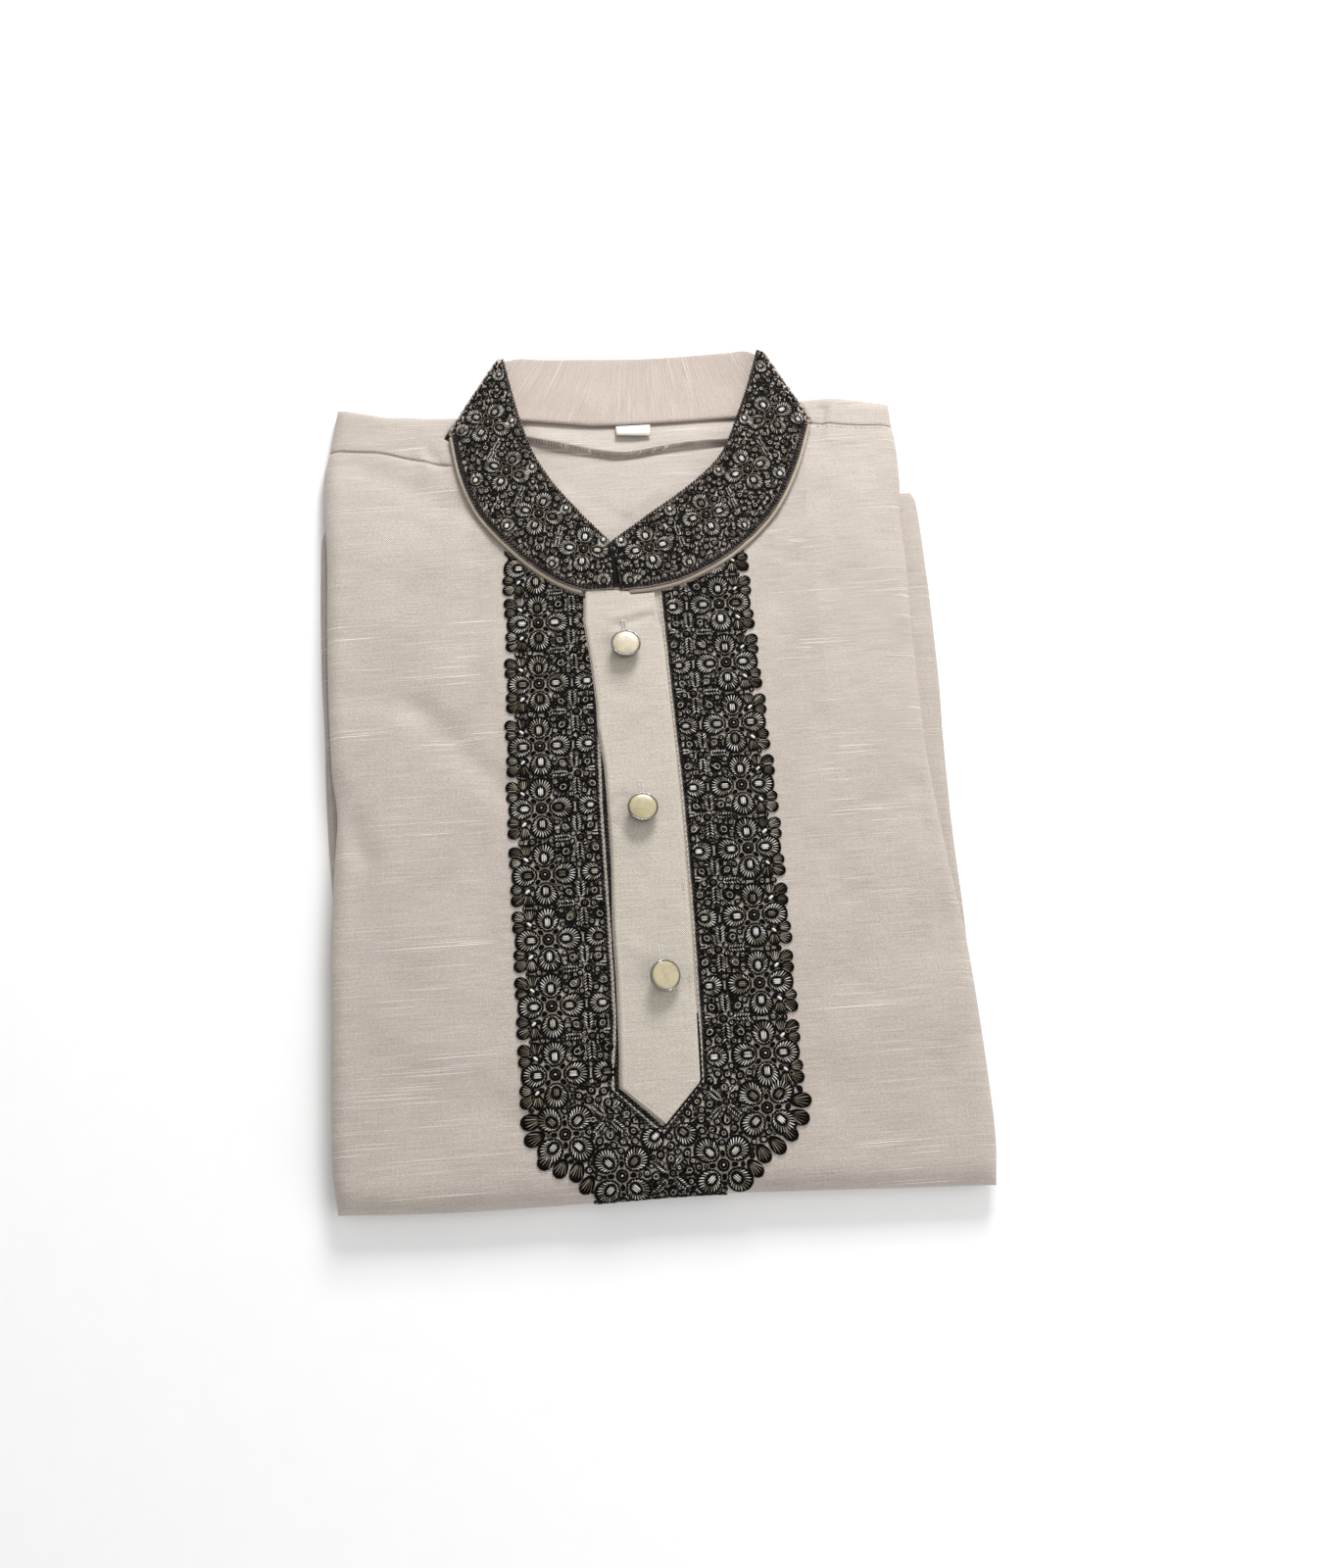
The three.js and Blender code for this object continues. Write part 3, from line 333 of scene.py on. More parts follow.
class Graph:
    def __init__(self, tree):
        self.tree = tree

    def node(self, kind, inputs=None, **settings):
        made = self.tree.nodes.new(kind)
        for key, value in settings.items():
            setattr(made, key, value)
        for key, value in (inputs or {}).items():
            if isinstance(value, bpy.types.NodeSocket):
                self.tree.links.new(value, made.inputs[key])
            else:
                made.inputs[key].default_value = value
        return made

    def math(self, operation, a, b=0.0, c=0.0):
        return self.node("ShaderNodeMath", {0: a, 1: b, 2: c}, operation=operation).outputs[0]

    def noise(self, vector, scale, detail=2.0, roughness=0.5):
        return self.node("ShaderNodeTexNoise", {"Vector": vector, "Scale": scale, "Detail": detail,
                                                "Roughness": roughness}).outputs[0]

    def ramp(self, value, low, high):
        return self.node("ShaderNodeMapRange", {"Value": value, "From Min": low, "From Max": high}).outputs[0]

    def mix(self, factor, a, b, blend="MIX"):
        made = self.node("ShaderNodeMix", data_type="RGBA", blend_type=blend)
        for key, value in ((0, factor), (6, a), (7, b)):
            if isinstance(value, bpy.types.NodeSocket):
                self.tree.links.new(value, made.inputs[key])
            else:
                made.inputs[key].default_value = value
        return made.outputs[2]


# linen-like twill with slubs along it, laid out on the cloth's own millimetres
def clothMaterial(name, look):
    material, tree, shader = newMaterial(name)
    g = Graph(tree)
    uv = g.node("ShaderNodeUVMap", uv_map="weave").outputs[0]
    inMm = g.node("ShaderNodeVectorMath", {0: uv, "Scale": 1000.0}, operation="SCALE").outputs[0]
    wander = g.noise(inMm, 0.6, 2.0)
    split = g.node("ShaderNodeSeparateXYZ", {0: inMm})
    u, v = split.outputs[0], split.outputs[1]
    diagonal = g.math("ADD", g.math("ADD", u, v), g.math("MULTIPLY", wander, 0.5))
    twill = g.math("SINE", g.math("MULTIPLY", diagonal, 2 * math.pi / look["twillPitch"]))

    # noise drawn out along u or v, by its frequencies per millimetre
    def stretched(su, sv, detail=2.0):
        scaled = g.node("ShaderNodeVectorMath", {0: inMm, 1: (su, sv, 1.0)}, operation="MULTIPLY").outputs[0]
        return g.noise(scaled, 1.0, detail)

    slubGroups = g.ramp(stretched(0.010, 0.055), 0.47, 0.60)
    slubLines = g.ramp(stretched(0.014, 2.0, 1.0), look["slubFrom"], look["slubFrom"] + 0.04)
    slub = g.math("MULTIPLY", slubLines, g.math("ADD", g.math("MULTIPLY", slubGroups, 0.8), 0.2))
    yarn = stretched(0.05, 2.6, 3.0)
    warp = stretched(3.2, 0.06, 2.0)
    cloud = g.noise(inMm, 0.028, 3.0, 0.55)
    base, light, dark = look["base"], look["light"], look["dark"]
    tint = g.mix(g.ramp(cloud, 0.32, 0.70), dark, base)
    tint = g.mix(g.math("MULTIPLY", g.ramp(yarn, 0.36, 0.68), look["yarnMix"]), tint, light)
    tint = g.mix(g.math("MULTIPLY", g.ramp(warp, 0.42, 0.70), look["yarnMix"] * 0.6), tint, dark)
    shade = g.math("MULTIPLY_ADD", twill, look["twillShade"], look["twillLevel"])
    mottle = g.math("SUBTRACT", g.noise(inMm, 0.9, 2.0), 0.5)
    shade = g.math("ADD", shade, g.math("MULTIPLY", mottle, look["mottle"]))
    grey = g.node("ShaderNodeCombineColor", {0: shade, 1: shade, 2: shade}).outputs[0]
    tint = g.mix(1.0, tint, grey, "MULTIPLY")
    tint = g.mix(g.math("MULTIPLY", slub, look["slubMix"]), tint, look["slub"])
    tree.links.new(tint, shader.inputs["Base Color"])
    shader.inputs["Roughness"].default_value = look["roughness"]
    shader.inputs["Sheen Weight"].default_value = 0.18
    shader.inputs["Sheen Roughness"].default_value = 0.45
    shader.inputs["Specular IOR Level"].default_value = 0.38
    height = g.math("ADD", g.math("MULTIPLY", twill, 0.35), g.math("MULTIPLY", slub, 1.6))
    height = g.math("ADD", height, g.math("MULTIPLY", yarn, 0.9))
    rumple = g.noise(inMm, 0.14, 3.0, 0.5)
    bump = g.node("ShaderNodeBump", {"Height": height, "Strength": look["bump"], "Distance": 0.00012})
    coarse = g.node("ShaderNodeBump", {"Height": rumple, "Strength": 0.5, "Distance": look["rumple"] * mm,
                                       "Normal": bump.outputs[0]})
    tree.links.new(coarse.outputs[0], shader.inputs["Normal"])
    return material


# from a screen colour to the linear one that shaders use
def colour(*levels):
    shares = [c / 255 for c in levels]
    return tuple(c / 12.92 if c <= 0.04045 else ((c + 0.055) / 1.055) ** 2.4 for c in shares) + (1.0,)


clothLook = {
    "base": colour(193, 182, 171), "light": colour(213, 204, 195), "dark": colour(178, 166, 155),
    "slub": colour(236, 229, 220), "slubFrom": 0.62, "slubMix": 0.95, "yarnMix": 0.7, "twillPitch": 1.08,
    "twillShade": 0.24, "twillLevel": 0.84, "mottle": 0.5, "roughness": 0.58, "bump": 1.0, "rumple": 0.6,
}
bodyCloth = clothMaterial("bodyCloth", clothLook)
placketCloth = clothMaterial("placketCloth", {
    **clothLook, "base": colour(199, 190, 176), "light": colour(217, 209, 197), "dark": colour(186, 176, 162),
    "slubFrom": 0.66,
})
bandCloth = clothMaterial("bandCloth", {
    **clothLook, "base": colour(188, 173, 162), "light": colour(205, 192, 182), "dark": colour(174, 157, 146),
    "twillShade": 0.08, "slubFrom": 0.6, "slubMix": 0.55,
})


def plainMaterial(name, tint, roughness, noiseScale, spread, metallic=0.0, bump=0.3, gloss=0.3):
    material, tree, shader = newMaterial(name)
    g = Graph(tree)
    place = g.node("ShaderNodeTexCoord").outputs["Object"]
    grain = g.noise(place, noiseScale, 3.0, 0.6)
    low = tuple(c * (1 - spread) for c in tint[:3]) + (1.0,)
    tree.links.new(g.mix(g.ramp(grain, 0.35, 0.65), low, tint), shader.inputs["Base Color"])
    tree.links.new(g.math("MULTIPLY_ADD", grain, 0.12, roughness - 0.06), shader.inputs["Roughness"])
    shader.inputs["Metallic"].default_value = metallic
    shader.inputs["Specular IOR Level"].default_value = gloss
    if bump:
        bumped = g.node("ShaderNodeBump", {"Height": grain, "Strength": bump, "Distance": 0.00008})
        tree.links.new(bumped.outputs[0], shader.inputs["Normal"])
    return material


# thread from black through bronze to white, by the tone each stitch carries
def threadMaterial():
    material, tree, shader = newMaterial("embroideryThread")
    g = Graph(tree)
    tone = g.node("ShaderNodeAttribute", attribute_name="tone").outputs["Fac"]
    ramp = g.node("ShaderNodeValToRGB", {"Fac": tone})
    stops = [(0.0, (8, 7, 7)), (0.15, (26, 22, 19)), (0.35, (62, 55, 44)), (0.55, (122, 113, 96)),
             (0.75, (186, 178, 164)), (1.0, (246, 244, 240))]
    cr = ramp.color_ramp
    while len(cr.elements) < len(stops):
        cr.elements.new(0.5)
    for element, (place, tint) in zip(cr.elements, stops):
        element.position = place
        element.color = colour(*tint)
    where = g.node("ShaderNodeTexCoord").outputs["Object"]
    grain = g.noise(where, 2600.0, 2.0)
    tint = g.mix(g.math("MULTIPLY", grain, 0.35), ramp.outputs[0], colour(12, 10, 9))
    tree.links.new(tint, shader.inputs["Base Color"])
    shader.inputs["Roughness"].default_value = 0.5
    shader.inputs["Specular IOR Level"].default_value = 0.12
    bump = g.node("ShaderNodeBump", {"Height": grain, "Strength": 0.35, "Distance": 0.0001})
    tree.links.new(bump.outputs[0], shader.inputs["Normal"])
    return material


thread = threadMaterial()
groundThread = plainMaterial("darkGroundThread", colour(16, 13, 11), 0.8, 1800.0, 0.5, gloss=0.04)
sewingThread = plainMaterial("creamSewingThread", colour(222, 213, 200), 0.5, 1500.0, 0.2)
pipingCloth = plainMaterial("pipingCloth", colour(176, 163, 146), 0.6, 1400.0, 0.25)
tapeCloth = plainMaterial("labelTape", colour(226, 222, 214), 0.7, 1600.0, 0.15)
gunmetal = plainMaterial("polishedRim", colour(150, 148, 146), 0.16, 400.0, 0.2, metallic=1.0, bump=0.0, gloss=0.5)


def inlayMaterial(name, tint):
    material, tree, shader = newMaterial(name)
    g = Graph(tree)
    place = g.node("ShaderNodeTexCoord").outputs["Object"]
    cloud = g.noise(place, 260.0, 4.0, 0.6)
    fleck = g.noise(place, 900.0, 3.0, 0.6)
    light = tuple(min(1.0, c * 1.12) for c in tint[:3]) + (1.0,)
    dark = tuple(c * 0.84 for c in tint[:3]) + (1.0,)
    base = g.mix(g.ramp(cloud, 0.35, 0.66), dark, light)
    base = g.mix(g.math("MULTIPLY", g.ramp(fleck, 0.6, 0.75), 0.3), base, colour(236, 228, 206))
    tree.links.new(base, shader.inputs["Base Color"])
    shader.inputs["Roughness"].default_value = 0.3
    shader.inputs["Coat Weight"].default_value = 0.2
    shader.inputs["Coat Roughness"].default_value = 0.1
    return material


print("materials ready")

# ---- camera, floor and light
view = {"tilt": 18.5, "turn": 4.24, "place": (-0.00917, -0.28203, 0.78878), "lens": 38.0}


def addCamera():
    tilt, turn = math.radians(view["tilt"]), math.radians(view["turn"])
    heading = Matrix.Rotation(-turn, 3, "Z")
    right = heading @ Vector((1, 0, 0))
    up = heading @ Vector((0, math.cos(tilt), math.sin(tilt)))
    back = heading @ Vector((0, -math.sin(tilt), math.cos(tilt)))
    data = bpy.data.cameras.new("camera")
    data.lens = view["lens"]
    data.sensor_width = 36
    data.clip_start, data.clip_end = 0.02, 20
    camera = bpy.data.objects.new("camera", data)
    camera.matrix_world = Matrix((
        (right.x, up.x, back.x, view["place"][0]), (right.y, up.y, back.y, view["place"][1]),
        (right.z, up.z, back.z, view["place"][2]), (0, 0, 0, 1)))
    bpy.context.scene.collection.objects.link(camera)
    bpy.context.scene.camera = camera


addCamera()

studio = {
    "world": 0.57, "floorHalf": 2500.0, "floorLevel": -0.05,
    # place in metres, size and power of each lamp
    "lamps": {"key": ((0.30, 1.08, 0.72), 0.5, 18.6), "fill": ((0.9, -0.5, 0.9), 1.4, 7.5)},
}


def addStudio():
    scene = bpy.context.scene
    scene.view_settings.view_transform = "Standard"
    world = bpy.data.worlds.new("softRoom")
    scene.world = world
    world.use_nodes = True
    sky = world.node_tree.nodes["Background"]
    sky.inputs["Color"].default_value = (1.0, 1.0, 1.0, 1.0)
    sky.inputs["Strength"].default_value = studio["world"]

    for name, (place, size, power) in studio["lamps"].items():
        data = bpy.data.lights.new(name, "AREA")
        data.shape = "SQUARE"
        data.size = size
        data.energy = power
        lamp = bpy.data.objects.new(name, data)
        lamp.location = place
        lamp.rotation_euler = (-Vector(place)).to_track_quat("-Z", "Y").to_euler()
        scene.collection.objects.link(lamp)
    paper, tree, shader = newMaterial("paperFloor")
    g = Graph(tree)
    place = g.node("ShaderNodeTexCoord").outputs["Object"]
    grain = g.noise(place, 60.0, 3.0)
    tree.links.new(g.mix(grain, (0.90, 0.90, 0.90, 1), (0.93, 0.93, 0.93, 1)), shader.inputs["Base Color"])
    shader.inputs["Roughness"].default_value = 0.8
    shader.inputs["Specular IOR Level"].default_value = 0.1
    half = studio["floorHalf"]
    corners = [(x * half, y * half, studio["floorLevel"]) for x, y in ((-1, -1), (1, -1), (1, 1), (-1, 1))]
    floor = makeObject("floor", corners, [(0, 1, 2, 3)], paper, smoothShade=False)


addStudio()

# ---- front panel
neckLine = [(-86, 163.2), (-80, 162.4), (-77.4, 158), (-75.9, 153.5), (-71.8, 142), (-66.8, 130.8),
            (-58.6, 118.8), (-49.4, 108.4), (-41.4, 100.3), (-33, 93.6), (-26, 89), (-20, 86.3), (-5, 86),
            (0, 86), (15.6, 86.9), (31, 90.7), (42.8, 95.6), (53.6, 102.4), (65.4, 111.6), (75.9, 123.7),
            (83.4, 135), (89.7, 147.6), (95, 161), (99, 174), (101, 175.6)]  # x, y
# x, y of the shoulder seams
seamLeft = [(-170, 178.4), (-150, 177), (-136.6, 175.8), (-123.6, 174), (-110, 169.4), (-95, 165), (-80, 161)]
seamRight = [(90, 176.4), (101, 175.8), (113.9, 174.7), (133.6, 171.9), (170, 169.6)]


def seamAt(x):
    return np.where(x < 0, along(seamLeft, x), along(seamRight, x))


def frontEnd(x):
    return np.where(x < -86, along(seamLeft, x), np.where(x > 101, along(seamRight, x), straight(neckLine, x)))


# the groove of the shoulder seams
def seamDip(x, y):
    away = abs(y - seamAt(x))
    return 0.35 * np.exp(-(away / 1.1) ** 2) * np.where((x < -84) | (x > 100), 1.0, 0.0)


# a plan of its own, wide by long, is fitted to the edges; what rolls under ends at the lips
panel = {"wall": 1.3, "step": 2.6, "wide": 300.0, "long": 390.0, "sideLip": 11.0, "bottomLip": 24.0}


def frontPanel():
    wide, long, roll, bottom = panel["wide"], panel["long"], form["sideRoll"], form["bottomRoll"]
    across = rollStations(wide, roll, roll, panel["step"])
    length = rollStations(long, bottom, 0, panel["step"])
    a, b = np.meshgrid(across, length, indexing="ij")
    y = -220 + b
    for _ in range(4):
        x0, x1 = along(form["leftEdge"], y), along(form["rightEdge"], y)
        flat = x0 + roll + (x1 - x0 - 2 * roll) * (a - roll) / (wide - 2 * roll)
        x = np.where(a < roll, x0 + a, np.where(a > wide - roll, x1 - (wide - a), flat))
        y0, y1 = along(form["bottomEdge"], x), frontEnd(x)
        start = y0 + bottom
        y = np.where(b < bottom, y0 + b, start + (y1 - start) * (b - bottom) / (long - bottom))
    full = rolled(np.minimum(a, wide - a), roll) * rolled(b, bottom)
    atSide = np.minimum(across[1:], wide - across[:-1]) < panel["sideLip"]
    low = atSide[:, None] | (length[1:] < panel["bottomLip"])[None, :]
    return foldedShell("front_cloth", x, y, full, low, bodyCloth, panel["wall"], seamDip)


frontPiece = finished(frontPanel(), "cloth", "front")

shoulderForm = {
    "step": 1.9, "wide": 62.0, "long": 30.0, "sideLip": 11.0, "topLip": 12.0,
    "left": [(150, -82), (176, -84), (180.4, -90.4), (196, -80.5)],  # y, x of its inner edge
    "right": [(150, 104), (172, 106.5), (176, 106.8), (193, 101)],
}


def shoulder(side):
    wide, long, roll, top = shoulderForm["wide"], shoulderForm["long"], form["sideRoll"], form["topRoll"]
    length = rollStations(long, 0, top, shoulderForm["step"])
    across = rollStations(wide, roll, 0, shoulderForm["step"])
    a, b = np.meshgrid(across, length, indexing="ij")
    y = 170 + b
    for _ in range(4):
        edge = along(form[sideName(side) + "Edge"], y)
        inner = straight(shoulderForm[sideName(side)], y)
        flat = edge - side * roll + (inner - edge + side * roll) * (a - roll) / (wide - roll)
        x = np.where(a < roll, edge - side * a, flat)
        y1 = along(form["topEdge"], x)
        y0 = seamAt(x) + 0.3
        y = np.where(b > long - top, y1 - (long - b), y0 + (y1 - top - y0) * b / (long - top))
    full = rolled(a, roll) * rolled(long - b, top)
    low = (across[1:] < shoulderForm["sideLip"])[:, None] | (long - length[:-1] < shoulderForm["topLip"])[None, :]
    if side > 0:
        x, y, full, low = x[::-1], y[::-1], full[::-1], low[::-1]
    return foldedShell(f"shoulder_{sideName(side)}_cloth", x, y, full, low, bodyCloth, panel["wall"], seamDip)


shoulderPieces = [finished(shoulder(side), "cloth", "shoulder_" + sideName(side)) for side in (-1, 1)]

# ---- what lies inside and below: back layers, skirt turned under, back of the neck
# two grids of points joined round their rim
def closedWall(name, top, low, material, uvTop=None):
    nu, nv = top.shape[:2]
    points = np.concatenate([top.reshape(-1, 3), low.reshape(-1, 3)])
    t = np.arange(nu * nv).reshape(nu, nv)
    b = t + nu * nv
    if uvTop is None:
        uvTop = top[..., :2]
    uv = np.concatenate([uvTop.reshape(-1, 2), uvTop.reshape(-1, 2)])
    faces = []
    for i in range(nu - 1):
        for j in range(nv - 1):
            faces.append((t[i, j], t[i + 1, j], t[i + 1, j + 1], t[i, j + 1]))
            faces.append((b[i, j], b[i, j + 1], b[i + 1, j + 1], b[i + 1, j]))
    rim = [(t[i, 0], t[i + 1, 0]) for i in range(nu - 1)]
    rim += [(t[nu - 1, j], t[nu - 1, j + 1]) for j in range(nv - 1)]
    rim += [(t[i, nv - 1], t[i - 1, nv - 1]) for i in range(nu - 1, 0, -1)]
    rim += [(t[0, j], t[0, j - 1]) for j in range(nv - 1, 0, -1)]
    for p, q in rim:
        faces.append((p, p + nu * nv, q + nu * nv, q))
    faces = [[int(p) for p in f] for f in faces]
    return makeObject(name, points, faces, material, [uv[p] for f in faces for p in f])


neckBack = {
    "left": [(74, -10), (88, -44), (104, -62), (128, -80), (152, -86), (168, -84), (184, -73), (188, -66)],  # y, x
    "right": [(74, 8), (76, 20), (84, 44), (104, 72), (134, 94), (160, 99), (170, 94), (183, 84), (188, 78)],
    # x, and how far the cloth's rows are moved along Y there
    "shift": [(-90, 7), (-50, 5.6), (-26, 2.6), (-8, 0.2), (40, -0.8), (66, -1.2), (94, -3)],
    "wall": 1.2, "tuck": 2.6, "tuckAt": 1.1, "tuckWide": 1.5,  # the tuck lets the roll hang over
}


def backNeck():
    rows = np.concatenate([np.arange(75.5, 158, 1.9), np.arange(158, 180, 0.6), np.arange(180, 187, 1.2), [187.5]])
    shares = np.linspace(0, 1, 100)
    x0, x1 = along(neckBack["left"], rows), along(neckBack["right"], rows)
    x = x0[None, :] + (x1 - x0)[None, :] * shares[:, None]
    y = np.broadcast_to(rows[None, :], x.shape)
    y = y + along(neckBack["shift"], x) * smooth(160, 187, y)
    z = neckFloor(x, y)
    past = y - along(neckRoll, x)
    tuck = np.exp(-((past - neckBack["tuckAt"]) / neckBack["tuckWide"]) ** 2)
    y = y - neckBack["tuck"] * tuck * smooth(*neckLip["starts"], x)
    top = np.stack([x, y, z], axis=-1)
    low = top - np.array([0, 0, neckBack["wall"]])
    return closedWall("back_neck_cloth", top, low, bodyCloth)


backPiece = finished(backNeck(), "cloth", "back_neck")


# how far the layers stay inside the outline, and the rolls at their edges
layers = {"wide": 300.0, "long": 420.0, "step": 6.0, "inset": 2.2, "topInset": 2.4,
          "side": 6.0, "bottom": 9.0, "top": 5.0}


def backLayers():
    wide, long, inset = layers["wide"], layers["long"], layers["inset"]
    across = rollStations(wide, layers["side"], layers["side"], layers["step"], 4)
    length = rollStations(long, layers["bottom"], layers["top"], layers["step"], 4)
    a, b = np.meshgrid(across, length, indexing="ij")
    y = b - 220
    for _ in range(4):
        x0, x1 = along(form["leftEdge"], y) + inset, along(form["rightEdge"], y) - inset
        x = x0 + (x1 - x0) * a / wide
        y0, y1 = along(form["bottomEdge"], x) + inset, along(form["topEdge"], x) - layers["topInset"]
        y = y0 + (y1 - y0) * b / long
    full = rolled(np.minimum(a, wide - a), layers["side"]) * rolled(b, layers["bottom"])
    full = full * rolled(long - b, layers["top"])
    mid = middle(y)
    inNeck = smooth(-90, -80, x) * smooth(104, 94, x) * smooth(frontEnd(x) - 12, frontEnd(x) - 4, y)
    roof = np.minimum(frontTop(x, y) - 2.0, np.where(inNeck > 0, neckFloor(x, y) - 1.7 + (1 - inNeck) * 12, 99))
    roof = np.minimum(roof, np.where((y > 176) & (x > -92) & (x < 108), 2.4, 99))
    floor = np.maximum(underside(y) + 1.9 + 0.25 * np.sin(x / 31) * np.sin(y / 47), np.where(y < 138, 5.1, 0))
    roof = np.maximum(roof, floor + 0.4)
    level = np.clip(mid, floor + 0.2, roof - 0.2)
    top = np.stack([x, y, level + (roof - level) * full], axis=-1)
    low = np.stack([x, y, level + (floor - level) * full], axis=-1)
    return closedWall("hidden_layers_cloth", top, low, bodyCloth)


hiddenPiece = finished(backLayers(), "cloth", "hidden_layers")

skirt = {
    "sides": [(-201, -152.8, 153.6), (-180, -153.4, 153.8), (-150, -153.6, 154.7), (-115, -153.6, 153.6),
              (-90, -153.7, 153.9), (-66, -153.9, 154.1), (-40, -155, 154.7), (-10, -156.2, 155.5),
              (22, -157, 157.2), (46, -157.8, 157.9), (80, -157.9, 159), (108, -157.9, 158.8),
              (124, -157.8, 158.4), (130, -157.3, 157.9), (134.5, -155.4, 155.6)],
    # inset, low, high, end
    "leaves": [(0.0, 0.0, 1.1, 134.5), (0.5, 1.25, 2.35, 133.8), (1.4, 2.5, 3.4, 132.2),
               (2.0, 3.55, 4.5, 131.4)],
}


def skirtFold():
    points, faces, uvs = [], [], []
    for n, (inset, zLow, zHigh, end) in enumerate(skirt["leaves"]):
        edge = np.array([0, 0.12, 0.4, 0.9, 1.8, 4, 9])
        lift = np.array([0, 0.5, 0.8, 0.96, 1, 1, 1])
        shares = np.concatenate([edge, np.linspace(30, 270, 5), 300 - edge[::-1]])
        full = np.concatenate([lift, np.ones(5), lift[::-1]])
        rows = np.concatenate([[-200.2, -199.9, -199.2, -198], np.arange(-195, end - 3, 4.5),
                               [end - 1.4, end - 0.5, end - 0.12, end]])
        fullRow = np.ones(len(rows))
        fullRow[:4], fullRow[-4:] = [0, 0.6, 0.92, 1], [1, 0.85, 0.5, 0]
        left = along([(r[0], r[1] + inset) for r in skirt["sides"]], rows) + 0.25 * np.sin(rows / 17 + n)
        right = along([(r[0], r[2] - inset) for r in skirt["sides"]], rows) + 0.3 * np.sin(rows / 21 + 2 * n)
        x = np.where(shares[:, None] < 150, left[None, :] + shares[:, None],
                     right[None, :] - (300 - shares[:, None]))
        middleOnes = (shares > 9) & (shares < 291)
        x[middleOnes] = left[None, :] + (right - left)[None, :] * (shares[middleOnes, None] / 300)
        y = np.broadcast_to(rows[None, :], x.shape)
        mid, half = (zLow + zHigh) / 2, (zHigh - zLow) / 2
        f = full[:, None] * fullRow[None, :]
        top = np.stack([x, y, mid + half * f], axis=-1)
        low = np.stack([x, y, mid - half * f], axis=-1)
        nu, nv = x.shape
        base = len(points)
        index = np.arange(nu * nv).reshape(nu, nv)
        lowIndex = index.copy()
        points += top.reshape(-1, 3).tolist()
        extra = nu * nv
        for i in range(nu):
            for j in range(nv):
                if f[i, j] > 1e-6:
                    lowIndex[i, j] = extra
                    points.append(low[i, j].tolist())
                    extra += 1
        for i in range(nu - 1):
            for j in range(nv - 1):
                ring = [(i, j), (i + 1, j), (i + 1, j + 1), (i, j + 1)]
                for source, order in ((index, ring), (lowIndex, ring[::-1])):
                    faces.append([base + int(source[p]) for p in order])
                    uvs += [(x[p], y[p]) for p in order]
    return makeObject("skirt_fold_cloth", points, faces, bodyCloth, uvs)


skirtPiece = finished(skirtFold(), "cloth", "skirt_fold")
print("body cloth ready")


# ---- collar
def seamLevel(x, y):
    return np.maximum(frontTop(x, y), collar["seamLeast"]) + collar["seamGap"]


# points on the seam and on the free edge of the band's front part
def frontStation(side, share):
    seam, free = [onCurve(collar[sideName(side) + edge], share) for edge in ("Seam", "Free")]
    seamZ = seamLevel(seam[..., 0], seam[..., 1]) + collar["thick"] / 2
    freeZ = along(collar["freeHeight"], share) + collar["thick"] / 2 - 0.6
    return np.concatenate([seam, seamZ[..., None]], axis=-1), np.concatenate([free, freeZ[..., None]], axis=-1)


def backStation(share):
    seam, free = onCurve(collar["backSeam"], share), onCurve(collar["backFree"], share)
    level = np.full(seam.shape[:-1] + (1,), 5.45)
    return np.concatenate([seam, level], axis=-1), np.concatenate([free, level * 0 + 1.15], axis=-1)


def turnStations(first, last, outward, count=9):
    angle = math.pi * np.arange(1, count) / count
    blend = ((1 - np.cos(angle)) / 2)[:, None]
    bulge = np.sin(angle)[:, None] * collar["turnOut"] * np.array([outward[0], outward[1], 0.0])
    return [a[None, :] + (b - a)[None, :] * blend + bulge for a, b in zip(first, last)]


def collarStations():
    shares = np.linspace(0, 1, 46)
    left, back = frontStation(-1, shares), backStation(shares)
    right = tuple(s[::-1] for s in frontStation(1, shares))
    turnLeft = turnStations([s[-1] for s in left], [s[0] for s in back], collar["leftTurn"])
    turnRight = turnStations([s[-1] for s in back], [s[0] for s in right], collar["rightTurn"])
    return [np.concatenate([left[k], turnLeft[k], back[k], turnRight[k], right[k]]) for k in range(2)]


def collarBand():
    seam, free = collarStations()
    count = len(seam)
    shares = np.concatenate([[0, 0.012, 0.03], np.linspace(0.07, 0.93, 12), [0.97, 0.988, 1]])
    grid = seam[:, None, :] + (free - seam)[:, None, :] * shares[None, :, None]
    du = np.gradient(grid, axis=0)
    dv = np.gradient(grid, axis=1)
    normal = np.cross(dv, du)
    normal /= np.linalg.norm(normal, axis=-1, keepdims=True)
    crown = collar["crown"] * 4 * shares * (1 - shares)
    edge = np.minimum(shares, 1 - shares) * 34
    half = collar["thick"] / 2 * np.clip(rolled(edge, 1.2), 0.25, 1)
    ends = np.ones(count)
    ends[[0, -1]] = 0.45
    ends[[1, -2]] = 0.9
    wave = 0.18 * np.sin(np.arange(count)[:, None] / 3.1) * np.sin(shares * 9)[None, :]
    out = grid + normal * ((crown + half)[None, :] * ends[:, None] + wave)[..., None]
    inside = grid + normal * ((crown - half)[None, :] * ends[:, None] + wave)[..., None]
    u = arcLengths(grid, 0)[:, len(shares) // 2][:, None] * np.ones(len(shares))[None, :]
    v = arcLengths(grid, 1)
    uv = np.stack([v, u], axis=-1)
    return closedWall("collar_band_cloth", out[:, ::-1], inside[:, ::-1], bandCloth, uv[:, ::-1])


bandPiece = finished(collarBand(), "collar_cloth", "collar_band")


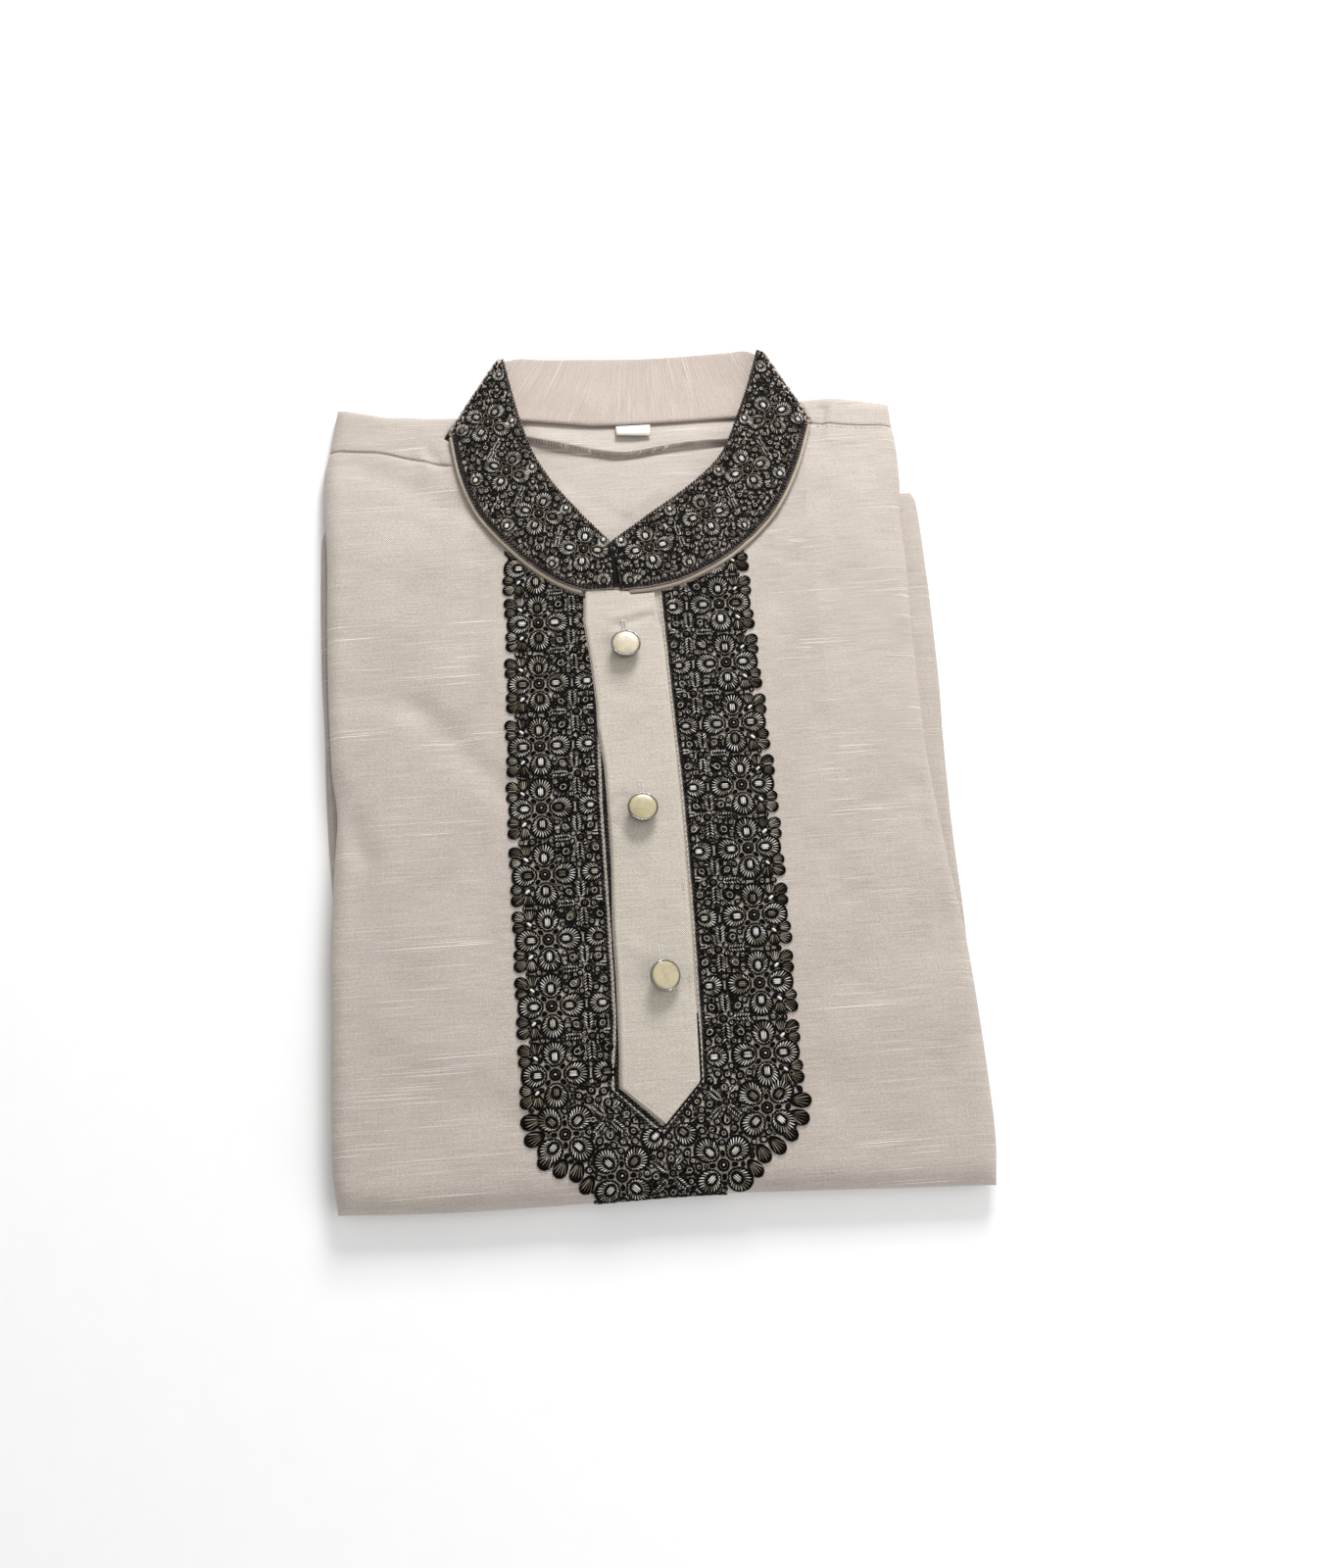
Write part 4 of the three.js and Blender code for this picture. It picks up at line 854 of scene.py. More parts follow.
# a collar half's outer face from its front end to a little way round its fold
def bandReach(side, shares):
    front = frontStation(side, shares)
    back = backStation(np.array([0.0 if side < 0 else 1.0]))
    bend = turnStations([s[-1] for s in frontStation(side, np.array([1.0]))], [s[0] for s in back],
                        collar[sideName(side) + "Turn"], 14)
    return tuple(np.concatenate([f, t[:5]]) for f, t in zip(front, bend))


def bandPlace(side):
    a, b = bandReach(side, np.linspace(0, 1, 97))
    span = (b - a)[:, :2]
    square = (span**2).sum(axis=1)

    def place(x, y):
        x, y = np.broadcast_arrays(np.asarray(x, float), np.asarray(y, float))
        rel = np.stack([x[..., None] - a[:, 0], y[..., None] - a[:, 1]], axis=-1)
        t = np.clip((rel * span).sum(-1) / square, 0, 1)
        away = np.linalg.norm(rel - span * t[..., None], axis=-1)
        weight = 1.0 / (away**2 + 0.02) ** 2
        z = a[:, 2] + (b[:, 2] - a[:, 2]) * t + collar["crown"] * 4 * t * (1 - t)
        return np.stack([x, y, (z * weight).sum(-1) / weight.sum(-1) + collar["thick"] / 2], axis=-1)

    return place


# curve moved sideways in plan; positive is to the left of its direction
def sideStep(curve, away, count):
    share = np.linspace(0, 1, count)
    p = onCurve(curve, share)
    run = np.gradient(p, axis=0)
    run /= np.linalg.norm(run, axis=1, keepdims=True)
    return p + np.stack([-run[:, 1], run[:, 0]], axis=1) * away


piping = {"radius": 1.0, "out": 1.3, "sides": 12, "leftStart": -21.5, "rightStart": 1.0}


def pipingTube(side):
    line = sideStep(collar[sideName(side) + "Seam"], -side * piping["out"], 150)
    line = line[side * (line[:, 0] - piping[sideName(side) + "Start"]) > 0]
    z = seamLevel(line[:, 0], line[:, 1]) + piping["radius"]
    path = np.column_stack([line, z])
    tangent = np.gradient(path, axis=0)
    tangent /= np.linalg.norm(tangent, axis=1, keepdims=True)
    across = np.cross(tangent, [0, 0, 1.0])
    across /= np.linalg.norm(across, axis=1, keepdims=True)
    up = np.cross(across, tangent)
    angle = np.linspace(0, 2 * math.pi, piping["sides"], endpoint=False)
    radius = np.full(len(path), piping["radius"])
    radius[[0, -1]] *= 0.55
    ring = path[:, None, :] + radius[:, None, None] * (across[:, None, :] * np.cos(angle)[None, :, None]
                                                       + up[:, None, :] * np.sin(angle)[None, :, None])
    n, s = len(path), piping["sides"]
    index = np.arange(n * s).reshape(n, s)
    faces = [(index[k, m], index[k, (m + 1) % s], index[k + 1, (m + 1) % s], index[k + 1, m])
             for k in range(n - 1) for m in range(s)]
    faces += [tuple(index[0][::-1]), tuple(index[-1])]
    faces = [[int(p) for p in f] for f in faces]
    return makeObject(f"piping_{sideName(side)}_cord", ring.reshape(-1, 3), faces, pipingCloth)


for side in (-1, 1):
    finished(pipingTube(side), "piping_cloth", "piping_" + sideName(side))
print("collar ready")

# ---- placket
placket = {
    "left": [(-189.4, 0.9), (-171.8, -18.2), (-150, -17.4), (-121, -16.7), (-95, -16.8), (-64, -15.3),
             (-42, -15), (-14, -15.6), (7.6, -17.7), (18.5, -17.4), (43, -18.9), (64.7, -21.1), (82.1, -20)],  # y, x
    "right": [(-189.4, 0.9), (-171.2, 18.2), (-143, 19), (-98, 19.8), (-45, 19.9), (5, 19.2), (49.4, 17.9),
              (67, 15.9), (78.6, 15.3), (82.1, 15.2)],  # y, x
    "top": [(-20, 0), (-8, -0.3), (2.2, -1.7), (2.7, -3.7), (15.3, -3.5)],  # x, how far its top edge is cut back
    "level": 2.35, "half": 0.75, "edge": 0.9, "groove": 0.22, "grooveAt": 2.0, "grooveWide": 0.5,
    "foot": -189.4, "head": 82.1,
    # x0, y0, x1, y1, half width, depth
    "creases": [(-6, 61, 12, 65.5, 2.2, 0.9), (-8, 66, 10, 69, 2.6, -0.6), (-12, 52, -16, 38, 5, 0.5),
                (-14, 30, 2, 22, 7, 0.5), (4, 14, 16, 24, 6, -0.4), (-12, -60, 4, -78, 7, 0.4),
                (6, -92, 16, -80, 6, 0.4), (-13, -100, -4, -110, 5, -0.4), (-13, -44, -6, -52, 3.2, 0.6),
                (-14, -34, -8, -30, 3, 0.5), (8, -130, 16, -124, 4, 0.4)],
}


def placketStrip():
    foot, head = placket["foot"], placket["head"]
    rows = np.concatenate([np.linspace(foot, -171.8, 14), np.linspace(-170.2, 81.3, 150), [81.9, head]])
    left = straight(placket["left"], rows)
    right = straight(placket["right"], rows)
    shares = np.concatenate([[0, 0.012, 0.035, 0.07], np.linspace(0.1, 0.9, 24), [0.93, 0.965, 0.988, 1]])
    x = left[None, :] + (right - left)[None, :] * shares[:, None]
    y = np.broadcast_to(rows[None, :], x.shape) + straight(placket["top"], x) * smooth(60, head, rows)[None, :]
    edge = np.minimum(x - left[None, :], right[None, :] - x)
    edge = np.minimum(edge, np.minimum(y - foot, head - np.broadcast_to(rows[None, :], x.shape)) * 0.9)
    round_ = rolled(np.clip(edge, 0, None), placket["edge"])
    groove = placket["groove"] * np.exp(-((edge - placket["grooveAt"]) / placket["grooveWide"]) ** 2)
    bend = np.clip(creased(placket["creases"], x, y), -0.5, 0.9)
    top = laidOn(clothPlace, x, y, placket["level"] + placket["half"] * round_ - groove - bend)[0]
    low = laidOn(clothPlace, x, y, placket["level"] - placket["half"] * round_)[0]
    return closedWall("placket_strip", top, low, placketCloth)


placketPiece = finished(placketStrip(), "placket_cloth", "placket")


def placketUnder():
    rows = np.linspace(-188.6, 78.4, 96)
    left, right = straight(placket["left"], rows) - 0.9, straight(placket["right"], rows) - 0.1
    shares = np.linspace(0, 1, 20)
    x = left[None, :] + (right - left)[None, :] * shares[:, None]
    y = np.broadcast_to(rows[None, :], x.shape)
    top, low = [laidOn(clothPlace, x, y, np.full(x.shape, lift))[0] for lift in (1.3, 0.3)]
    return closedWall("placket_under_strip", top, low, placketCloth)


underPiece = finished(placketUnder(), "placket_cloth", "placket_under")


def neckLabel():
    shares = np.linspace(0, 1, 10)
    x = 1.9 + shares[:, None] * np.array([18.0, 18.2, 18.4, 18.5])[None, :]
    slant = 1.6 * shares[:, None] * np.array([1, 0.7, 0.4, 0.2])[None, :]
    y = np.array([176.2, 178.6, 181.0, 183.2])[None, :] - slant
    lift = np.array([2.6, 2.2, 1.5, 0.8])[None, :]
    top = np.stack([x, y, along(form["neckHeight"], y) + 1.3 + lift], axis=-1)
    return closedWall("neck_label_tape", top, top - np.array([0, 0, 0.4]), tapeCloth)


labelPiece = finished(neckLabel(), "label_tape", "neck_label")
print("placket ready")

# ---- buttons
buttons = [
    # x, y, lift of its back, tilt toward +X and +Y, colour of its inlay
    (-1.6, 48.3, 1.6, 4, 7, (184, 173, 148)),
    (0.8, -38.5, 1.6, 5, 7, (170, 158, 124)),
    (4.6, -121.4, 2.6, 20, -6, (176, 164, 131)),
]
buttonForm = {
    "segments": 56, "seat": 3.4,
    # radius, height
    "rim": [(0, 0.2), (5.6, 0.15), (6.3, 0.25), (6.75, 0.6), (6.85, 1.1), (6.8, 1.6), (7.0, 1.95), (7.35, 2.2),
            (7.5, 2.7), (7.5, 3.4), (7.45, 3.95), (7.3, 4.25), (7.1, 4.38), (6.92, 4.3), (6.8, 4.05),
            (6.75, 3.75), (0, 3.7)],
    "face": [(0, 3.8), (6.6, 3.8), (6.7, 3.95), (6.6, 4.15), (6.1, 4.35), (5.0, 4.55), (3.2, 4.68), (0, 4.72)],
    "shank": [(0, -3.0), (1.5, -3.0), (1.6, 0.2), (0, 0.22)],
}


def lathe(profile, segments):
    points, faces, rings = [], [], []
    angles = np.linspace(0, 2 * math.pi, segments, endpoint=False)
    for r, z in profile:
        ring = [(0, 0, z)] if r == 0 else [(r * math.cos(a), r * math.sin(a), z) for a in angles]
        rings.append(range(len(points), len(points) + len(ring)))
        points += ring
    for a, b in zip(rings, rings[1:]):
        for k in range(segments):
            n = (k + 1) % segments
            if len(a) == 1:
                faces.append((a[0], b[n], b[k]))
            elif len(b) == 1:
                faces.append((a[k], a[n], b[0]))
            else:
                faces.append((a[k], a[n], b[n], b[k]))
    return np.array(points, float), faces


def addButton(number, row):
    x, y, lift, tiltX, tiltY, tint = row
    seat = frontTop(x, y) + buttonForm["seat"] + lift
    turn = np.array(Matrix.Rotation(math.radians(tiltX), 3, "Y") @ Matrix.Rotation(math.radians(-tiltY), 3, "X"))
    inlay = inlayMaterial(f"buttonInlay{number}", colour(*tint))
    for part, material, slotName in (("rim", gunmetal, "button_metal"), ("face", inlay, "button_inlay")):
        points, faces = lathe(buttonForm[part], buttonForm["segments"])
        if part == "rim":
            more, moreFaces = lathe(buttonForm["shank"], 16)
            more[:, 2] = np.where(more[:, 2] < -1, -lift + 0.1, more[:, 2])
            faces = faces + [tuple(p + len(points) for p in f) for f in moreFaces]
            points = np.concatenate([points, more])
        placed = points @ turn.T + np.array([x, y, float(seat)])
        piece = makeObject(f"button_{number}_{part}_turned", placed, faces, material)
        finished(piece, slotName, f"button_{number}_{part}")


for number, row in enumerate(buttons, 1):
    addButton(number, row)
print("buttons ready")


# ---- stitches: points with a direction, an up vector, a size and a tone, each given one small spindle of thread
class StitchBook:
    def __init__(self, place):
        self.place = place
        self.rows = []  # x, y, heading, length, width, height, lift, tone

    def add(self, x, y, heading, length, width, height, lift, tone):
        values = (x, y, heading, length, width, height, lift, tone)
        parts = np.broadcast_arrays(*[np.asarray(p, float) for p in values])
        self.rows.append(np.stack([p.ravel() for p in parts], axis=1))

    def table(self):
        return np.concatenate(self.rows)

    def trim(self, region):
        rows = self.table()
        self.rows = [rows[region(rows[:, 0], rows[:, 1])]]


# a node group that turns points or lines into threads, and what its modifier offers
def fieldTree(name, sockets):
    tree = bpy.data.node_groups.new(name, "GeometryNodeTree")
    tree.is_modifier = True
    face = tree.interface
    face.new_socket("Geometry", in_out="INPUT", socket_type="NodeSocketGeometry")
    for label, kind, value in sockets:
        face.new_socket(label, in_out="INPUT", socket_type="NodeSocket" + kind).default_value = value
    face.new_socket("Thread", in_out="INPUT", socket_type="NodeSocketMaterial")
    face.new_socket("Geometry", in_out="OUTPUT", socket_type="NodeSocketGeometry")
    g = Graph(tree)
    return g, g.node("NodeGroupInput").outputs


def vectorOf(g, name):
    named = g.node("GeometryNodeInputNamedAttribute", {"Name": name}, data_type="FLOAT_VECTOR")
    return named.outputs["Attribute"]


# a ball of a few faces, lying along X
def spindle(g, sides, rings, scale):
    ball = g.node("GeometryNodeMeshUVSphere", {"Segments": sides, "Rings": rings, "Radius": 0.5}).outputs["Mesh"]
    lying = {"Geometry": ball, "Rotation": (0, math.pi / 2, 0), "Scale": scale}
    return g.node("GeometryNodeTransform", lying).outputs["Geometry"]


# one unit on every point, its long axis along the heading and its top along the point's up vector
def spreadUnits(g, given, points, unit, heading, scale):
    turn = g.node("FunctionNodeAxesToRotation", {0: vectorOf(g, "up"), 1: heading},
                  primary_axis="Z", secondary_axis="X").outputs["Rotation"]
    spread = g.node("GeometryNodeInstanceOnPoints",
                    {"Points": points, "Instance": unit, "Rotation": turn, "Scale": scale}).outputs["Instances"]
    real = g.node("GeometryNodeRealizeInstances", {"Geometry": spread}).outputs["Geometry"]
    painted = g.node("GeometryNodeSetMaterial", {"Geometry": real, "Material": given["Thread"]})
    g.node("NodeGroupOutput", {"Geometry": painted.outputs["Geometry"]})
    return g.tree


# one spindle of thread on every point, turned and sized by the point's own values
def stitchTree():
    g, given = fieldTree("stitchField", [("Sides", "Int", 4), ("Rings", "Int", 3), ("Plumpness", "Float", 1.0),
                                         ("Unevenness", "Float", 0.12), ("Seed", "Int", 7)])
    points = g.node("GeometryNodeMeshToPoints", {"Mesh": given["Geometry"]}).outputs["Points"]
    least = g.math("MULTIPLY", given["Unevenness"], -1)
    uneven = g.node("FunctionNodeRandomValue", {2: least, 3: given["Unevenness"], "Seed": given["Seed"]},
                    data_type="FLOAT").outputs[1]
    grown = g.math("ADD", uneven, given["Plumpness"])
    size = g.node("ShaderNodeVectorMath", {0: vectorOf(g, "size"), "Scale": grown}, operation="SCALE").outputs[0]
    unit = spindle(g, given["Sides"], given["Rings"], (1, 1, 1))
    return spreadUnits(g, given, points, unit, vectorOf(g, "heading"), size)


# one link or stitch repeated along every line of the mesh
def pathTree(name, linked):
    g, given = fieldTree(name, [("Pitch", "Float", 0.002), ("Length", "Float", 0.0024), ("Width", "Float", 0.0006),
                                ("Spread", "Float", 0.0005), ("Unevenness", "Float", 0.1), ("Seed", "Int", 3)])
    curve = g.node("GeometryNodeMeshToCurve", {"Mesh": given["Geometry"]}).outputs["Curve"]
    points = g.node("GeometryNodeCurveToPoints", {"Curve": curve, "Length": given["Pitch"]}, mode="LENGTH").outputs
    size = g.node("ShaderNodeCombineXYZ", {0: given["Width"], 1: given["Width"], 2: given["Length"]}).outputs[0]
    unit = spindle(g, 4, 3, size)
    if linked:
        join = g.node("GeometryNodeJoinGeometry")
        for sign in (1, -1):
            away = g.node("ShaderNodeCombineXYZ", {1: g.math("MULTIPLY", given["Spread"], sign)}).outputs[0]
            slant = (0, 0, sign * 0.34)
            leg = g.node("GeometryNodeTransform", {"Geometry": unit, "Translation": away, "Rotation": slant})
            g.tree.links.new(leg.outputs["Geometry"], join.inputs["Geometry"])
        unit = join.outputs["Geometry"]
    least = g.math("SUBTRACT", 1.0, given["Unevenness"])
    uneven = g.node("FunctionNodeRandomValue", {2: least, 3: 1.1, "Seed": given["Seed"]}, data_type="FLOAT")
    return spreadUnits(g, given, points["Points"], unit, points["Tangent"], uneven.outputs[1])


stitchField = stitchTree()
chainRow = pathTree("chainRow", True)
dashRow = pathTree("dashRow", False)


# points or lines with their vectors, grown into threads by a node group
def grownField(name, points, edges, vectors, tones, tree, wanted):
    mesh = bpy.data.meshes.new(name)
    mesh.from_pydata((np.asarray(points) * mm).tolist(), edges, [])
    for key, values in vectors.items():
        attribute = mesh.attributes.new(key, "FLOAT_VECTOR", "POINT")
        attribute.data.foreach_set("vector", np.asarray(values, np.float32).ravel())
    if tones is not None:
        mesh.attributes.new("tone", "FLOAT", "POINT").data.foreach_set("value", tones.astype(np.float32))
    piece = bpy.data.objects.new(name, mesh)
    bpy.context.scene.collection.objects.link(piece)
    field = piece.modifiers.new("threads", "NODES")
    field.node_group = tree
    for item in tree.interface.items_tree:
        if item.item_type == "SOCKET" and item.in_out == "INPUT" and item.name in wanted:
            field[item.identifier] = wanted[item.name]
    applied(piece)
    for key in vectors:
        found = piece.data.attributes.get(key)
        if found:
            piece.data.attributes.remove(found)
    piece.data.shade_smooth()
    print(name, len(points), "points", sum(len(p.vertices) - 2 for p in piece.data.polygons), "triangles")
    return piece


# the stitches of one book as a single mesh
def sewn(name, book, material):
    x, y, heading, length, width, height, lift, tone = book.table().T
    here, up, ax, ay = laidOn(book.place, x, y, lift)
    direction = ax * np.cos(heading)[:, None] + ay * np.sin(heading)[:, None]
    direction /= np.linalg.norm(direction, axis=1, keepdims=True)
    size = np.stack([length, width, height], axis=1) * mm
    return grownField(name, here, [], {"heading": direction, "up": up, "size": size}, tone, stitchField,
                      {"Thread": material})


# low padded grounds below the stitches, kept together as one mesh
class DomeBook:
    def __init__(self, place):
        self.place = place
        self.points, self.faces, self.shapes = [], [], []

    def add(self, cx, cy, angle, long, wide, high, egg=0.0, low=0.35, sides=14):
        turn = np.linspace(0, 2 * math.pi, sides, endpoint=False)
        self.shapes.append((cx, cy, angle, long, wide))
        rings = [(1.0, low), (0.9, low + (high - low) * 0.62), (0.6, high)]
        base = len(self.points)
        for share, lift in rings:
            u = long * share * np.cos(turn)
            v = wide * share * np.sin(turn) * (1 + egg * np.cos(turn))
            x = cx + u * math.cos(angle) - v * math.sin(angle)
            y = cy + u * math.sin(angle) + v * math.cos(angle)
            self.points += laidOn(self.place, x, y, np.full(sides, lift))[0].tolist()
        for lift in (high + 0.05, low):
            self.points += laidOn(self.place, np.array([cx]), np.array([cy]), np.array([lift]))[0].tolist()
        crownPoint, floorPoint = base + 3 * sides, base + 3 * sides + 1
        for k in range(sides):
            n = (k + 1) % sides
            for ring in range(2):
                a, b = base + ring * sides, base + (ring + 1) * sides
                self.faces.append((a + k, a + n, b + n, b + k))
            self.faces.append((base + 2 * sides + k, base + 2 * sides + n, crownPoint))
            self.faces.append((base + n, base + k, floorPoint))

    # drops every face that has a point outside the region
    def trim(self, region):
        pts = np.array(self.points)
        good = region(pts[:, 0], pts[:, 1])
        faces = [f for f in self.faces if all(good[p] for p in f)]
        used = sorted({p for f in faces for p in f})
        place = {p: n for n, p in enumerate(used)}
        self.points = [self.points[p] for p in used]
        self.faces = [tuple(place[p] for p in f) for f in faces]

    def mesh(self, name, material):
        return makeObject(name, self.points, self.faces, material)


# ---- embroidery motifs, drawn in their own sizes
motif = {"petalLong": 6.2, "petalWide": 6.0, "petalOut": 9.9, "egg": 0.12}


def turnedBy(cx, cy, angle, u, v):
    return cx + u * math.cos(angle) - v * math.sin(angle), cy + u * math.sin(angle) + v * math.cos(angle)


# stitches end to end round an ellipse or an egg
def ringOf(book, cx, cy, angle, long, wide, egg, count, width, height, lift, tone):
    overlap = 1.25
    turn = (np.arange(count) + 0.5) * 2 * math.pi / count
    u, v = long * np.cos(turn), wide * np.sin(turn) * (1 + egg * np.cos(turn))
    du, dv = -long * np.sin(turn), wide * (np.cos(turn) + egg * np.cos(2 * turn))
    x, y = turnedBy(cx, cy, angle, u, v)
    run = np.hypot(du, dv) * 2 * math.pi / count * overlap
    book.add(x, y, angle + np.arctan2(dv, du), run, width, height, lift, tone)


# egg-shaped petal: dark edge, white ticks round it, a dark ring and a bright eye
def petal(book, domes, cx, cy, angle, scale=1.0):
    ticks = 21
    long, wide, egg = motif["petalLong"] * scale, motif["petalWide"] * scale, motif["egg"]
    domes.add(cx, cy, angle, long * 0.99, wide * 0.97, 0.72, egg)
    ringOf(book, cx, cy, angle, long * 0.95, wide * 0.94, egg, 18, 0.95, 0.75, 0.66, 0.01 + 0.03 * rng.random(18))
    inX, inY = turnedBy(cx, cy, angle, -1.5 * scale, 0)
    count = round(ticks * (0.7 + 0.3 * scale))
    turn = (np.arange(count) + rng.random()) * 2 * math.pi / count
    outerU, outerV = long * 0.85 * np.cos(turn), wide * 0.84 * np.sin(turn) * (1 + egg * np.cos(turn))
    innerU, innerV = (-1.5 * scale + 3.6 * scale * np.cos(turn)), 2.8 * scale * np.sin(turn)
    x, y = turnedBy(cx, cy, angle, (outerU + innerU) / 2, (outerV + innerV) / 2)
    heading = angle + np.arctan2(outerV - innerV, outerU - innerU)
    length = np.hypot(outerU - innerU, outerV - innerV) * 1.02
    tone = np.clip(0.80 + 0.12 * np.sin(turn * 2 + rng.random() * 6) + 0.15 * rng.standard_normal(count), 0.35, 1.0)
    book.add(x, y, heading, length, 0.56, 0.5, 0.92, tone)
    ringOf(book, inX, inY, angle, 3.6 * scale, 2.85 * scale, 0, 12, 0.42, 0.45, 0.98, 0.4 + 0.3 * rng.random(12))
    ringOf(book, inX, inY, angle, 2.95 * scale, 2.15 * scale, 0, 12, 0.85, 0.5, 1.02, 0.01)
    cX, cY = turnedBy(cx, cy, angle, -1.6 * scale, 0)
    bright = rng.choice([1.0, 0.9, 0.62], p=[0.5, 0.3, 0.2])
    for off in (-0.85, 0.0, 0.85):
        sX, sY = turnedBy(cX, cY, angle, 0, off * scale)
        bar = 4.8 * math.sqrt(1 - (off / 1.6) ** 2) * scale
        book.add(sX, sY, angle, bar, 0.84, 0.55, 1.15, bright - 0.22 * rng.random())


# four petals round a raised centre, and a small eye between each two
def flower(book, domes, cx, cy, angle, scale=1.0):
    out = motif["petalOut"] * scale
    for k in range(4):
        a = angle + k * math.pi / 2
        petal(book, domes, cx + out * math.cos(a), cy + out * math.sin(a), a, scale)
    domes.add(cx, cy, angle, 3.0 * scale, 3.0 * scale, 0.9, sides=10)
    ringOf(book, cx, cy, angle, 2.7 * scale, 2.7 * scale, 0, 10, 0.55, 0.6, 0.9, 0.06)
    ringOf(book, cx, cy, angle, 1.7 * scale, 1.7 * scale, 0, 8, 0.45, 0.5, 1.2, 0.30 + 0.2 * rng.random(8))
    book.add(cx, cy, angle, 1.2, 1.0, 0.9, 1.45, 0.85)
    for k in range(4):
        a = angle + math.pi / 4 + k * math.pi / 2
        sx, sy = cx + 5.1 * scale * math.cos(a), cy + 5.1 * scale * math.sin(a)
        domes.add(sx, sy, a, 1.9 * scale, 1.5 * scale, 0.6, sides=8)
        ringOf(book, sx, sy, a, 1.7 * scale, 1.3 * scale, 0, 7, 0.45, 0.5, 1.0, 0.45 + 0.25 * rng.random(7))


# pointed leaf: dark outline, light slanting veins, dark mid rib
def leaf(book, domes, cx, cy, angle, long, wide, tone=0.80):
    domes.add(cx, cy, angle, long * 0.92, wide * 0.85, 0.75, -0.15, sides=10)
    steps = np.linspace(-0.9, 0.9, 9)
    half = wide * np.sqrt(np.clip(1 - steps**2, 0, 1)) * (1 - 0.15 * steps)
    for sign in (-1, 1):
        u, v = long * steps, sign * half
        x, y = turnedBy(cx, cy, angle, u, v)
        heading = angle + np.arctan2(np.gradient(v), np.gradient(u))
        book.add(x, y, heading, long * 0.30, 0.6, 0.65, 0.72, 0.04 + 0.05 * rng.random(9))
        vein = np.linspace(-0.72, 0.66, 6)
        reach = wide * np.sqrt(1 - vein**2) * 0.5
        x, y = turnedBy(cx, cy, angle, long * vein, sign * reach)
        veinTone = np.clip(tone + 0.15 * rng.standard_normal(6), 0.4, 1.0)
        book.add(x, y, angle + sign * 0.9, wide * 0.8, 0.56, 0.5, 1.0, veinTone)
    x, y = turnedBy(cx, cy, angle, long * np.array([-0.45, 0.1, 0.6]), 0)
    book.add(x, y, angle, long * 0.55, 0.4, 0.5, 1.1, 0.12)


# rounded leaf with five veins and a bright eye
def lobe(book, domes, cx, cy, angle, radius, tone=0.3):
    domes.add(cx, cy, angle, radius, radius * 0.88, 0.7, 0.1, sides=12)
    ringOf(book, cx, cy, angle, radius * 0.97, radius * 0.86, 0.1, 11, 0.66, 0.65, 0.6, 0.02)
    for off in np.linspace(-0.62, 0.62, 5):
        x, y = turnedBy(cx, cy, angle, -0.05 * radius, off * radius * 0.86)
        book.add(x, y, angle, radius * 1.5 * math.sqrt(1 - off * off), 0.5, 0.5, 0.84,
                 np.clip(tone + 0.2 * rng.standard_normal(), 0.05, 0.85))
    x, y = turnedBy(cx, cy, angle, radius * 0.2, 0)
    ringOf(book, x, y, angle, radius * 0.42, radius * 0.34, 0, 6, 0.4, 0.4, 1.0, 0.7 + 0.25 * rng.random(6))


# one leaf of a fan, its veins spread
def fanLeaf(book, domes, cx, cy, angle, long, wide, tone):
    domes.add(cx, cy, angle, long, wide, 0.6, 0.2, sides=10)
    ringOf(book, cx, cy, angle, long * 0.97, wide * 0.95, 0.2, 12, 0.58, 0.65, 0.7, 0.05 + 0.04 * rng.random(12))
    for off in np.linspace(-0.6, 0.6, 5):
        x, y = turnedBy(cx, cy, angle + off * 0.35, 0.08 * long, off * wide)
        book.add(x, y, angle + off * 0.6, long * 1.45 * math.sqrt(1 - 0.8 * off * off), 0.5, 0.5, 0.88,
                 np.clip(tone + 0.12 * rng.standard_normal(), 0.2, 0.9))


